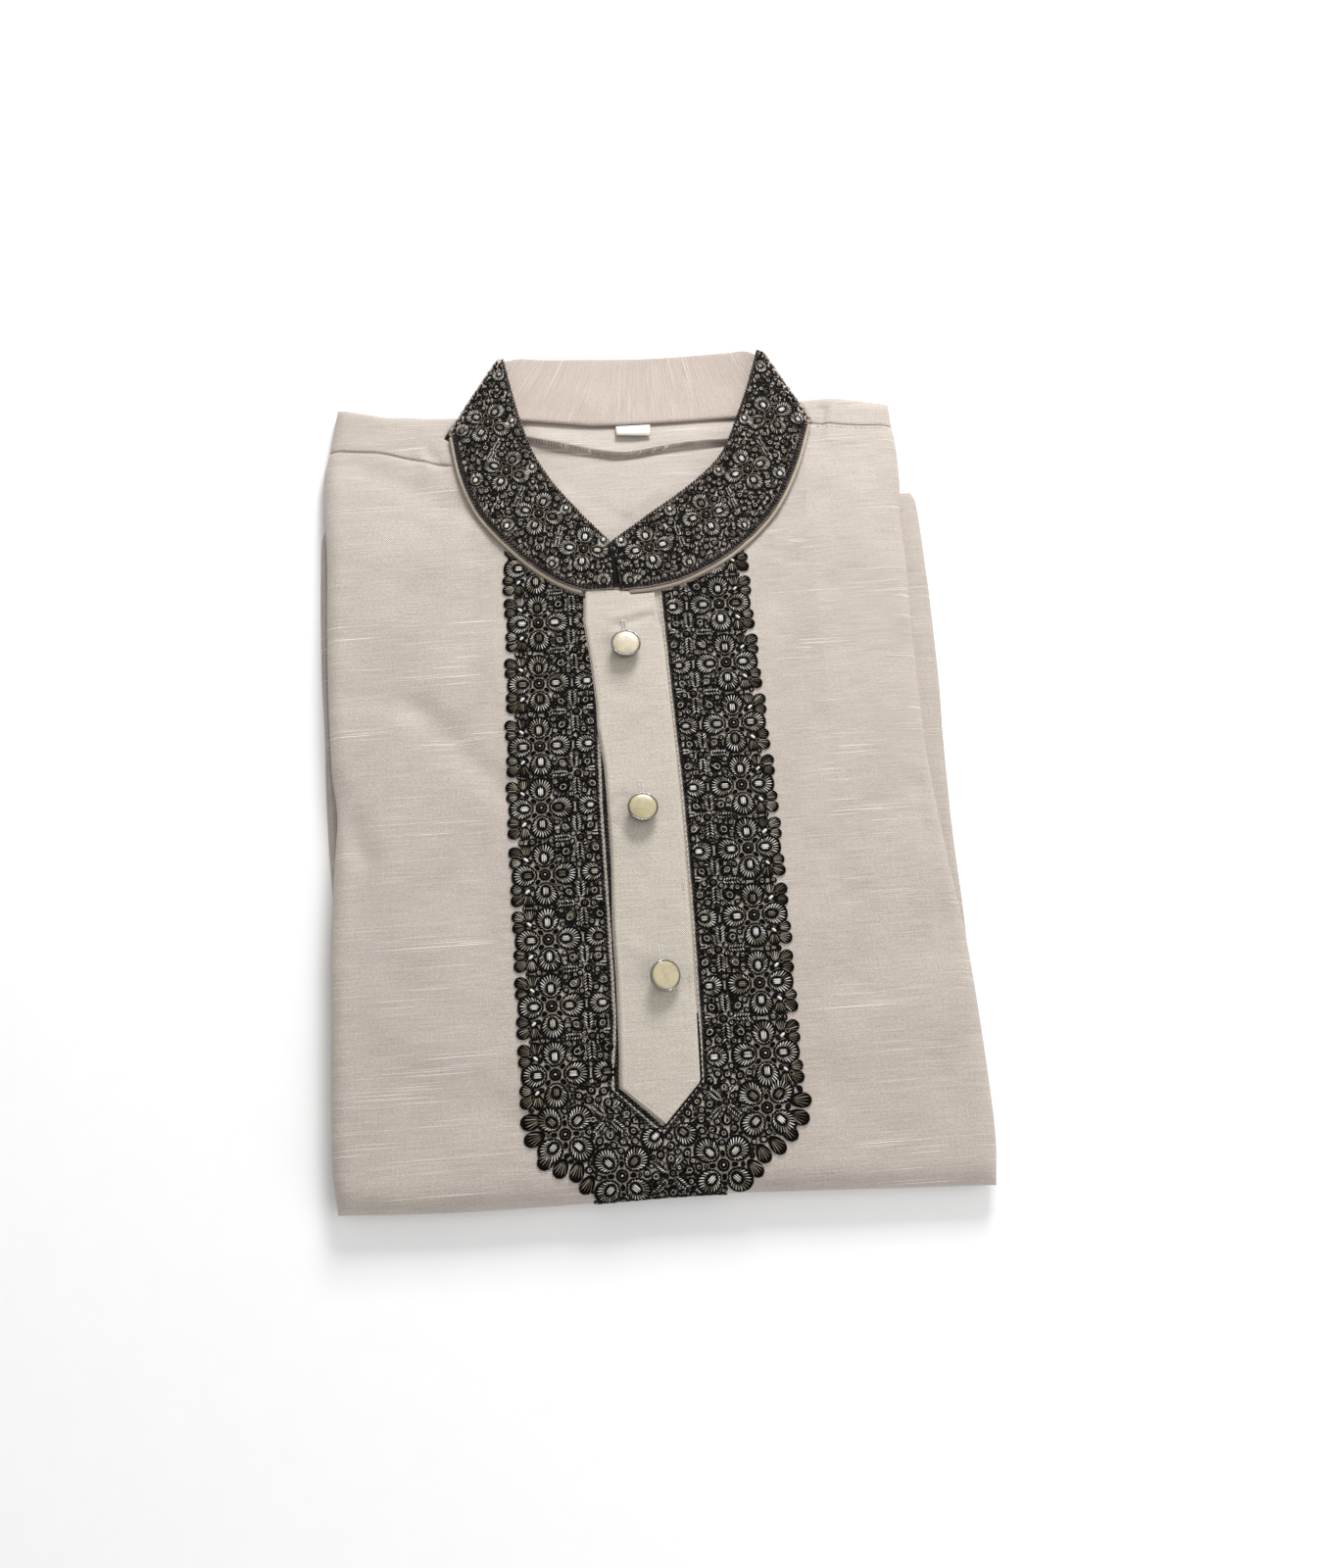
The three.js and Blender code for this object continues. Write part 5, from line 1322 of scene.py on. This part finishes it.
bib = {
    # x, y, turn, and whether a half petal stands at its inner side
    "leftLimb": [(-45.2, 98, 0), (-45, 66.4, 1), (-46.2, 33, 1), (-47.5, -0.5, 1), (-48.4, -32.7, 1),
                 (-48.4, -66.6, 1), (-48.4, -98.7, 1), (-48.6, -130.8, 1), (-48.6, -163, 1)],
    "rightLimb": [(47.8, 103, 0), (47.8, 70.5, 1), (48.5, 37.7, 1), (49.4, 4.8, 1), (50.4, -27.9, 1),
                  (50.6, -60.4, 1), (50.5, -93.9, 1), (50, -126.8, 1), (49.6, -160.2, 1)],
    "corners": [(-45.5, -190.6, 45), (48.1, -185.3, 45), (-20.7, -211, 45), (25.8, -209.6, 45)],
    "tips": [(-5.6, -195.4, 218), (9.6, -194.4, -38)],
    "footMotifs": [(-24.5, -184), (29.5, -181), (2.5, -211.5)],
    "halfPetal": 22.6,
    # across (outward), along, heading, half length, half width
    "fan": [(13.5, 6.7, -10, 3.5, 2.6), (13.3, 11.6, 25, 3.9, 2.9), (8.5, 12.1, 90, 3.6, 2.6)],
    "fanEye": (8.8, 8.0),
    # relative to the middle between two flowers, across (inward) and along
    "leaves": [(-8.8, 0.3, 180, 4.6, 2.0), (-1.4, 7.3, 90, 4.6, 2.6), (-0.7, -6.7, -90, 5.0, 2.4),
               (7.4, 2, 0, 2.2, 1.6)],
    "lobes": [(-6.8, 5.5, 140, 3.0), (-7, -6.3, 220, 3.4), (4.7, 5.5, 40, 2.9), (6.5, -5.4, -40, 3.2)],
    "motifIn": 18.3, "motifUp": 0.8,
    "edgeFans": [(-62, -184, 190, 4.6, 3.2), (-61, -192, 200, 4.4, 3.0), (-55.5, -202.5, 225, 4.4, 3.0),
                 (-49, -207, 240, 4.0, 2.8), (-41.5, -209, 250, 4.2, 2.8), (-37.5, -215, 235, 4.0, 2.6),
                 (65, -183, -5, 4.6, 3.0), (63.5, -191, -20, 4.4, 3.0), (58, -198, -45, 4.2, 2.8),
                 (52, -203.5, -50, 4.2, 2.8), (45, -207, -65, 4.0, 2.8), (41, -213, -50, 4.0, 2.6)],
    "edgeFanIn": 1.5, "edgeFanGrow": 1.18,
    # the bottom corners' and fold's share, to be filled with small lobes
    "pointPlan": [(-61, -176), (-61, -190), (-50, -204.5), (-35, -217), (-32, -228), (25, -228), (26, -217),
                  (48, -206.5), (63, -193), (64.5, -176)],
}

# each row's distance in from the flowers, and from the placket's left and right edge at its foot
border = {"chain": (27.7, 5.7, 2.9), "dots": (29.5, 4.0, 1.3), "inner": (31.0, 2.4, 0.35), "hidden": -1.4,
          "foot": (-135, -166)}

neckPolygon = np.concatenate([sideStep(collar["leftSeam"], 2.6, 30)[::-1], sideStep(collar["rightSeam"], -2.6, 30)])


def inside(polygon, x, y):
    found = np.zeros(np.shape(x), bool)
    last = len(polygon) - 1
    for k in range(len(polygon)):
        (x0, y0), (x1, y1) = polygon[last], polygon[k]
        crosses = ((y0 > y) != (y1 > y)) & (x < (x1 - x0) * (y - y0) / np.where(y1 == y0, 1e-9, y1 - y0) + x0)
        found ^= crosses
        last = k
    return found


# heading measured from the outward side
def turnDegrees(angle, outward):
    a = math.radians(angle)
    return a if outward > 0 else math.pi - a


def limb(book, domes, rows, outward):
    for k, (x, y, half) in enumerate(rows):
        flower(book, domes, x, y, 0)
        if half:
            petal(book, domes, x - outward * bib["halfPetal"], y, 0 if outward > 0 else math.pi, 0.9)
        for sign in (-1, 1):
            if k == 0 and sign > 0:
                continue
            for across, up, angle, long, wide in bib["fan"]:
                fanLeaf(book, domes, x + outward * across, y + sign * up, turnDegrees(sign * angle, outward),
                        long, wide, 0.42 + 0.3 * rng.random())
            domes.add(x + outward * 10.6, y + sign * 9.4, 0, 2.9, 2.7, 0.6, sides=8)
            ex, ey = x + outward * bib["fanEye"][0], y + sign * bib["fanEye"][1]
            tilt = turnDegrees(sign * 40, outward)
            ringOf(book, ex, ey, tilt, 2.0, 1.4, 0, 9, 0.55, 0.5, 0.85, 0.04)
            book.add(ex, ey, tilt, 3.0, 1.5, 0.6, 1.0, 0.96)
            ringOf(book, x + outward * 11.3, y + sign * 9.9, 0, 0.9, 0.9, 0, 6, 0.45, 0.4, 0.85,
                   0.4 + 0.3 * rng.random(6))
        if k + 1 < len(rows):
            nx, ny = rows[k + 1][0], rows[k + 1][1]
            crossMotif(book, domes, (x + nx) / 2 - outward * bib["motifIn"], (y + ny) / 2 + bib["motifUp"],
                       -outward, 0)


# four leaves and four lobes round a dark centre
def crossMotif(book, domes, cx, cy, inward, turn, scale=1.0):
    def at(across, up, angle):
        u, v = across * inward * scale, up * scale
        x, y = turnedBy(cx, cy, turn, u, v)
        return x, y, turnDegrees(angle, inward) + turn

    for across, up, angle, long, wide in bib["leaves"]:
        x, y, a = at(across, up, angle)
        leaf(book, domes, x, y, a, long * scale, wide * scale)
    for across, up, angle, radius in bib["lobes"]:
        x, y, a = at(across, up, angle)
        lobe(book, domes, x, y, a, radius * scale, 0.22 + 0.25 * rng.random())
    domes.add(cx, cy, 0, 2.3 * scale, 2.2 * scale, 0.6, sides=8)
    ringOf(book, cx, cy, 0, 1.5, 1.5, 0, 8, 0.5, 0.5, 0.85, 0.06)
    ringOf(book, cx, cy, 0, 0.6, 0.6, 0, 4, 0.5, 0.5, 0.95, 0.5)


# how far a point lies outside the placket, past its left and past its right edge
def besidePlacket(x, y):
    left, right = straight(placket["left"], y) - x, x - straight(placket["right"], y)
    (tipY, tipX), (leftY, leftX), (rightY, rightX) = placket["left"][0], placket["left"][1], placket["right"][1]
    for k, (cornerX, cornerY) in enumerate(((leftX, leftY), (rightX, rightY))):
        run = math.hypot(tipX - cornerX, tipY - cornerY)
        normal = np.array([tipY - cornerY, cornerX - tipX]) / run * (1 if k == 0 else -1)
        away = (x - tipX) * normal[0] + (y - tipY) * normal[1]
        if k == 0:
            left = np.where(y < cornerY, np.where(x < cornerX, np.maximum(left, away), away), left)
        else:
            right = np.where(y < cornerY, away, right)
    return left, right


# how far outside the placket a row runs; negative where the placket hides it
def rowOut(side, key, y):
    distance, foot = border[key][0], border[key][1 if side < 0 else 2]
    line = sorted((row[1], row[0]) for row in bib[sideName(side) + "Limb"])
    out = side * (straight(line, y) - straight(placket[sideName(side)], y)) - distance
    share = smooth(*border["foot"], y)
    return np.maximum(out * (1 - share) + foot * share, border["hidden"])


def outsideRows(x, y, more):
    left, right = besidePlacket(x, y)
    return (left > rowOut(-1, "chain", y) + more) | (right > rowOut(1, "chain", y) + more)


# small dark lobes in what is still bare, the widest gaps first
def fillGaps(book, domes, shapes, region, box, most=2.4, apart=0.12):
    x0, y0, x1, y1 = box
    step, least, mostLobes = 0.45, 0.7, 1100
    gx, gy = np.meshgrid(np.arange(x0, x1, step), np.arange(y0, y1, step), indexing="ij")
    free = np.where(region(gx, gy), 4.0, -1.0)

    def mark(cx, cy, angle, long, wide):
        i0, i1 = int((cx - long - 4 - x0) / step), int((cx + long + 4 - x0) / step) + 1
        j0, j1 = int((cy - long - 4 - y0) / step), int((cy + long + 4 - y0) / step) + 1
        if i1 <= 0 or j1 <= 0 or i0 >= gx.shape[0] or j0 >= gx.shape[1]:
            return
        part = (slice(max(i0, 0), i1), slice(max(j0, 0), j1))
        dx, dy = gx[part] - cx, gy[part] - cy
        u = dx * math.cos(angle) + dy * math.sin(angle)
        v = -dx * math.sin(angle) + dy * math.cos(angle)
        far = np.hypot(u / long, v / wide)
        free[part] = np.minimum(free[part], np.hypot(u, v) * (1 - 1 / np.maximum(far, 1e-6)))

    for shape in shapes:
        mark(*shape)
    count = 0
    while count < mostLobes:
        i, j = np.unravel_index(np.argmax(free), free.shape)
        radius = min(free[i, j] - apart, most)
        if radius < least:
            break
        cx, cy = gx[i, j], gy[i, j]
        angle = 2 * math.pi * rng.random()
        smallLobe(book, domes, cx, cy, angle, radius)
        shape = (cx, cy, angle, radius, radius * 0.92)
        mark(*shape)
        shapes.append(shape)
        count += 1
    return count


def smallLobe(book, domes, cx, cy, angle, radius):
    domes.add(cx, cy, angle, radius * 1.12, radius * 0.88, 0.55, 0.1, sides=8)
    around = max(6, round(radius * 4.4))
    ringOf(book, cx, cy, angle, radius * 0.98, radius * 0.76, 0.1, around, 0.6, 0.55, 0.5, 0.02)
    if radius > 1.5:
        for off in (-0.5, 0.0, 0.5):
            x, y = turnedBy(cx, cy, angle, 0, off * radius * 0.9)
            book.add(x, y, angle, radius * 1.5 * math.sqrt(1 - off * off), 0.48, 0.45, 0.7,
                     0.15 + 0.6 * rng.random() ** 2)
        ringOf(book, cx, cy, angle, radius * 0.34, radius * 0.3, 0, 5, 0.42, 0.4, 0.85, 0.5 + 0.45 * rng.random(5))
    else:
        book.add(cx, cy, angle, radius * 1.5, 0.5, 0.45, 0.68, 0.1 + 0.8 * rng.random() ** 2)


def embroideredBib():
    made = []
    for side in (-1, 1):
        book, domes = StitchBook(clothPlace), DomeBook(clothPlace)
        limb(book, domes, bib[sideName(side) + "Limb"], side)
        made.append((book, domes))
    book, domes = StitchBook(clothPlace), DomeBook(clothPlace)
    for x, y, turn in bib["corners"]:
        flower(book, domes, x, y, math.radians(turn))
    for x, y, turn in bib["tips"]:
        petal(book, domes, x, y, math.radians(turn), 0.92)
    for x, y in bib["footMotifs"]:
        crossMotif(book, domes, x, y, 1, math.radians(45), 0.85)
    for x, y, angle, long, wide in bib["edgeFans"]:
        x, y = turnedBy(x, y, math.radians(angle), -bib["edgeFanIn"], 0)
        fanLeaf(book, domes, x, y, math.radians(angle), long * bib["edgeFanGrow"], wide * bib["edgeFanGrow"], 0.55)
    made.append((book, domes))
    shapes = [shape for _, domes in made for shape in domes.shapes]
    for (book, domes), side in zip(made, (-1, 1, 0)):
        if side:
            rows = bib[sideName(side) + "Limb"]
            line = sorted((y, x) for x, y, _ in rows)
            stars = [((a[0] + b[0]) / 2 + side * 13.4, (a[1] + b[1]) / 2) for a, b in zip(rows, rows[1:])]

            def region(x, y):
                clear = outsideRows(x, y, 1.4)
                outward = side * (x - straight(line, y))
                for sx, sy in stars:
                    clear &= np.hypot(x - sx, y - sy) > 2.6
                return clear & (outward < 13.2) & (y > -176) & ~inside(neckPolygon, x, y)

            box = (-64, -178, -12, 118) if side < 0 else (14, -178, 68, 118)
        else:
            def region(x, y):
                return outsideRows(x, y, 1.4) & (y < -176) & inside(np.array(bib["pointPlan"], float), x, y)

            box = (-66, -230, 68, -174)
        print("small lobes", fillGaps(book, domes, shapes, region, box))
        domes.trim(lambda x, y: ~inside(neckPolygon, x, y))
        book.trim(lambda x, y: ~inside(neckPolygon, x, y) & outsideRows(x, y, 0.7))
    return [(name, *pair) for name, pair in zip(("bib_left", "bib_right", "bib_point"), made)]


for label, book, domes in embroideredBib():
    finished(sewn(label, book, thread), "thread", *(["embroidery_bib"] if label == "bib_left" else []))
    finished(domes.mesh(label + "_ground", groundThread), "thread")
print("bib ready")


# ---- chain borders and topstitching: one small link or stitch repeated along a path
def spaced(line, step):
    line = np.asarray(line, float)
    runs = np.concatenate([[0], np.cumsum(np.linalg.norm(np.diff(line, axis=0), axis=1))])
    at = np.arange(0, runs[-1], step)
    return np.stack([np.interp(at, runs, line[:, k]) for k in range(line.shape[1])], axis=1)


# rows of links or stitches along lines laid on a surface, in millimetres
def sewnAlong(name, lines, tree, material, pitch, length, width, seed, spread=0.5, unevenness=0.1):
    points, ups, edges = [], [], []
    for place, line, lift in lines:
        fine = spaced(line, 0.8)
        here, up = laidOn(place, fine[:, 0], fine[:, 1], np.full(len(fine), float(lift)))[:2]
        base = len(points)
        points += here.tolist()
        ups += up.tolist()
        edges += [(base + k, base + k + 1) for k in range(len(fine) - 1)]
    wanted = {"Thread": material, "Pitch": pitch * mm, "Length": length * mm, "Width": width * mm,
              "Spread": spread * mm, "Unevenness": unevenness, "Seed": seed}
    return grownField(name, points, edges, {"up": ups}, None, tree, wanted)


blackCord = plainMaterial("blackBorderCord", colour(14, 12, 11), 0.55, 1600.0, 0.5, gloss=0.15)


# a border row down the left of the placket, round its point and up the right
def borderLine(key):
    (tipY, tipX), (leftY, leftX), (rightY, rightX) = placket["left"][0], placket["left"][1], placket["right"][1]
    leftOut, rightOut = border[key][1:]
    down, up = np.linspace(84, leftY, 80), np.linspace(rightY, 80, 80)
    hidden = np.where(rowOut(-1, key, down) < -0.2)[0]
    down = down[hidden[-1] + 1:] if len(hidden) else down
    hidden = np.where(rowOut(1, key, up) < -0.2)[0]
    up = up[:hidden[0]] if len(hidden) else up
    left = list(zip(straight(placket["left"], down) - rowOut(-1, key, down), down))
    right = list(zip(straight(placket["right"], up) + rowOut(1, key, up), up))
    a = np.array([tipY - leftY, leftX - tipX])
    b = np.array([rightY - tipY, tipX - rightX])
    a, b = a / np.linalg.norm(a), b / np.linalg.norm(b)
    tip = np.array([tipX, tipY]) + np.linalg.solve(np.array([a, b]), np.array([leftOut, rightOut]))
    return np.array(left + [tuple(tip)] + right)


def borderRow(key, lift):
    line = spaced(borderLine(key), 0.8)
    return clothPlace, line[~inside(neckPolygon, line[:, 0], line[:, 1])], lift


finished(sewnAlong("bib_border", [borderRow("chain", 0.75), borderRow("inner", 0.6)], chainRow, blackCord,
                   pitch=2.0, length=2.7, width=0.95, spread=0.45, seed=5), "thread")
finished(sewnAlong("bib_border_dots", [borderRow("dots", 0.75)], dashRow, sewingThread,
                   pitch=2.6, length=1.5, width=0.7, seed=6), "thread")

# ---- collar embroidery
collarWork = {
    "flowers": (0.13, 0.37, 0.61, 0.85),  # share along the band
    "between": (0.01, 0.25, 0.49, 0.73, 0.97),
    "across": 0.55,
    "chainInset": (0.6, 1.9),
}


def collarEmbroidery(side):
    place = bandPlace(side)
    book, domes = StitchBook(place), DomeBook(place)

    def at(share, across):
        a, b = frontStation(side, np.array([share]))
        p = a[0] + (b[0] - a[0]) * across
        q = b[0] - a[0]
        return p[0], p[1], math.atan2(q[1], q[0])

    def onBand(share):
        return min(max(share, 0.035), 0.965)

    for share in collarWork["flowers"]:
        x, y, heading = at(share, collarWork["across"])
        flower(book, domes, x, y, heading, 0.86)
    for share in collarWork["between"]:
        x, y, heading = at(share, 0.50)
        if 0.05 < share < 0.95:
            leaf(book, domes, *turnedBy(x, y, heading, 3.6, 0), heading, 3.6, 1.7)
            leaf(book, domes, *turnedBy(x, y, heading, -3.6, 0), heading + math.pi, 3.6, 1.7)
            for sign in (1, -1):
                lobe(book, domes, *turnedBy(x, y, heading, 0, 4.2 * sign), heading + math.pi / 2 * sign, 2.3, 0.3)
        x, y, heading = at(onBand(share), 0.16)
        petal(book, domes, x, y, heading, 0.7)
        x, y, heading = at(onBand(share), 0.86)
        petal(book, domes, x, y, heading + math.pi, 0.62)
        for sign in (-1, 1):
            beside = min(max(share + sign * 0.055, 0.02), 0.98)
            x, y, heading = at(beside, 0.15)
            fanLeaf(book, domes, x, y, heading - sign * 0.6, 2.8, 1.8, 0.5)
            x, y, heading = at(beside, 0.88)
            lobe(book, domes, x, y, heading + sign * 0.6, 2.2, 0.35)
    for share in collarWork["flowers"]:
        for step in (-0.045, 0.045):
            x, y, heading = at(share + step, 0.20)
            lobe(book, domes, x, y, heading, 2.2, 0.25)
            x, y, heading = at(share + step, 0.90)
            fanLeaf(book, domes, x, y, heading + math.pi, 2.4, 1.7, 0.45)
    a, b = bandReach(side, np.linspace(0, 1, 60))
    bend = smooth(len(a) - 9, len(a) - 3, np.arange(len(a)))[:, None]
    inner = np.concatenate([a[:, :2] + (b - a)[:, :2] * (0.08 - 0.055 * bend), (a + (b - a) * 0.955)[::-1, :2]])
    low, high = inner.min(axis=0), inner.max(axis=0)
    count = fillGaps(book, domes, list(domes.shapes), lambda x, y: inside(inner, x, y), (*low, *high), 2.2, 0.1)
    print("small lobes", count)
    outline = np.concatenate([a[:, :2] + (b - a)[:, :2] * (0.066 - 0.056 * bend), (a + (b - a) * 0.965)[::-1, :2]])
    book.trim(lambda x, y: inside(outline, x, y))
    domes.trim(lambda x, y: inside(outline, x, y))
    name = sideName(side)
    return sewn("collar_work_" + name, book, thread), domes.mesh("collar_ground_" + name, groundThread), place


for side in (-1, 1):
    key = sideName(side)
    piece, ground, place = collarEmbroidery(side)
    finished(piece, "thread", "collar_embroidery_" + key)
    finished(ground, "thread")
    seam, free = collar[key + "Seam"], collar[key + "Free"]
    lines = [(place, sideStep(seam, inset * side, 120), 0.75) for inset in collarWork["chainInset"]]
    lines.append((place, sideStep(free, -0.8 * side, 120), 0.65))
    finished(sewnAlong("collar_chain_" + key, lines, chainRow, blackCord,
                       pitch=1.9, length=2.5, width=0.82, spread=0.32, seed=9), "thread")
    lines = [(place, sideStep([seam[0], free[0]], 1.9 * side, 30)[2:-2], 0.45)]
    if side < 0:
        lines.insert(0, (place, sideStep([seam[0], free[0]], 0.9 * side, 30)[1:-1], 0.3))
    finished(sewnAlong("collar_end_" + key, lines, chainRow, blackCord,
                       pitch=1.5, length=2.1, width=0.8, spread=0.35, seed=12), "thread")
print("collar work ready")

# a flat dark piece in the gap between the collar's ends: the under end's dark embroidery, darkened as painted shade
# for the shadow in the gap
gapPlan = [(-9.5, 84.5), (1.6, 84.5), (-1.6, 106), (-8.2, 106)]
gapWall = [(x, y, z) for z in (13.7, 13.1) for x, y in gapPlan]
gapFaces = [(0, 1, 2, 3), (7, 6, 5, 4), (0, 4, 5, 1), (1, 5, 6, 2), (2, 6, 7, 3), (3, 7, 4, 0)]
finished(makeObject("collar_gap_painted_shade", gapWall, gapFaces, groundThread, smoothShade=False), "thread")


# ---- topstitching and buttonholes
def placketTop(x, y):
    x, y = np.broadcast_arrays(np.asarray(x, float), np.asarray(y, float))
    return laidOn(clothPlace, x, y, np.full(x.shape, 2.9))[0]


edgeLeft = np.array([(straight(placket["left"], y) + 2.0, y) for y in np.linspace(80, -170.9, 120)])
edgeRight = np.array([(straight(placket["right"], y) - 2.0, y) for y in np.linspace(-170.3, 77, 120)])
placketLines = [np.concatenate([edgeLeft, [(0.9, -186.6)], edgeRight]),
                np.array([(-14.5, -153.2), (0, -154.2), (15.5, -155.6)]),
                np.array([(-14.5, -152.0), (0, -153.0), (15.5, -154.4)]),
                np.array([(-18, 80.4), (-6, 80.1)])]
finished(sewnAlong("placket_stitching", [(placketTop, line, 0.12) for line in placketLines], dashRow, sewingThread,
                   pitch=2.5, length=1.9, width=0.42, unevenness=0.3, seed=2), "placket_cloth")


def shoulderPlace(x, y):
    x, y = np.broadcast_arrays(np.asarray(x, float), np.asarray(y, float))
    return np.stack([x, y, frontTop(x, y) - seamDip(x, y)], axis=-1)


# the skirt's top leaf, where its hem shows
def hemPlace(x, y):
    x, y = np.broadcast_arrays(np.asarray(x, float), np.asarray(y, float))
    return np.stack([x, y, np.full(x.shape, 4.5)], axis=-1)


besideLeft = np.array([(x, float(along(seamLeft, x)) + 1.5) for x in np.linspace(-147, -93, 60)])
besideRight = np.array([(x, float(along(seamRight, x)) - 1.5) for x in np.linspace(110, 146, 40)])
bodyLines = [(shoulderPlace, besideLeft, 0.1), (shoulderPlace, besideRight, 0.1),
             (hemPlace, np.array([(144.0, 123.8), (155.6, 123.4)]), 0.05)]
finished(sewnAlong("body_stitching", bodyLines, dashRow, sewingThread,
                   pitch=2.6, length=2.1, width=0.45, unevenness=0.3, seed=4), "cloth")


def buttonholes():
    book = StitchBook(placketTop)
    for x, y, *_ in buttons:
        steps = np.arange(y + 0.6, y + 15.2, 0.62)
        for side in (-1, 1):
            book.add(x + side * 0.75, steps, 0.0, 1.25, 0.5, 0.45, 0.22, 0.9 + 0.08 * rng.random(len(steps)))
        book.add(x + np.linspace(-1.2, 1.2, 5), y + 15.4, math.pi / 2, 1.2, 0.5, 0.5, 0.3, 0.95)
    x, y = buttons[0][:2]
    book.add(x + 1.6 + np.linspace(-1.0, 1.0, 4), y - 8.6, math.pi / 2, 1.6, 0.45, 0.45, 0.3, 0.92)
    return sewn("buttonholes", book, thread)


finished(buttonholes(), "placket_cloth")
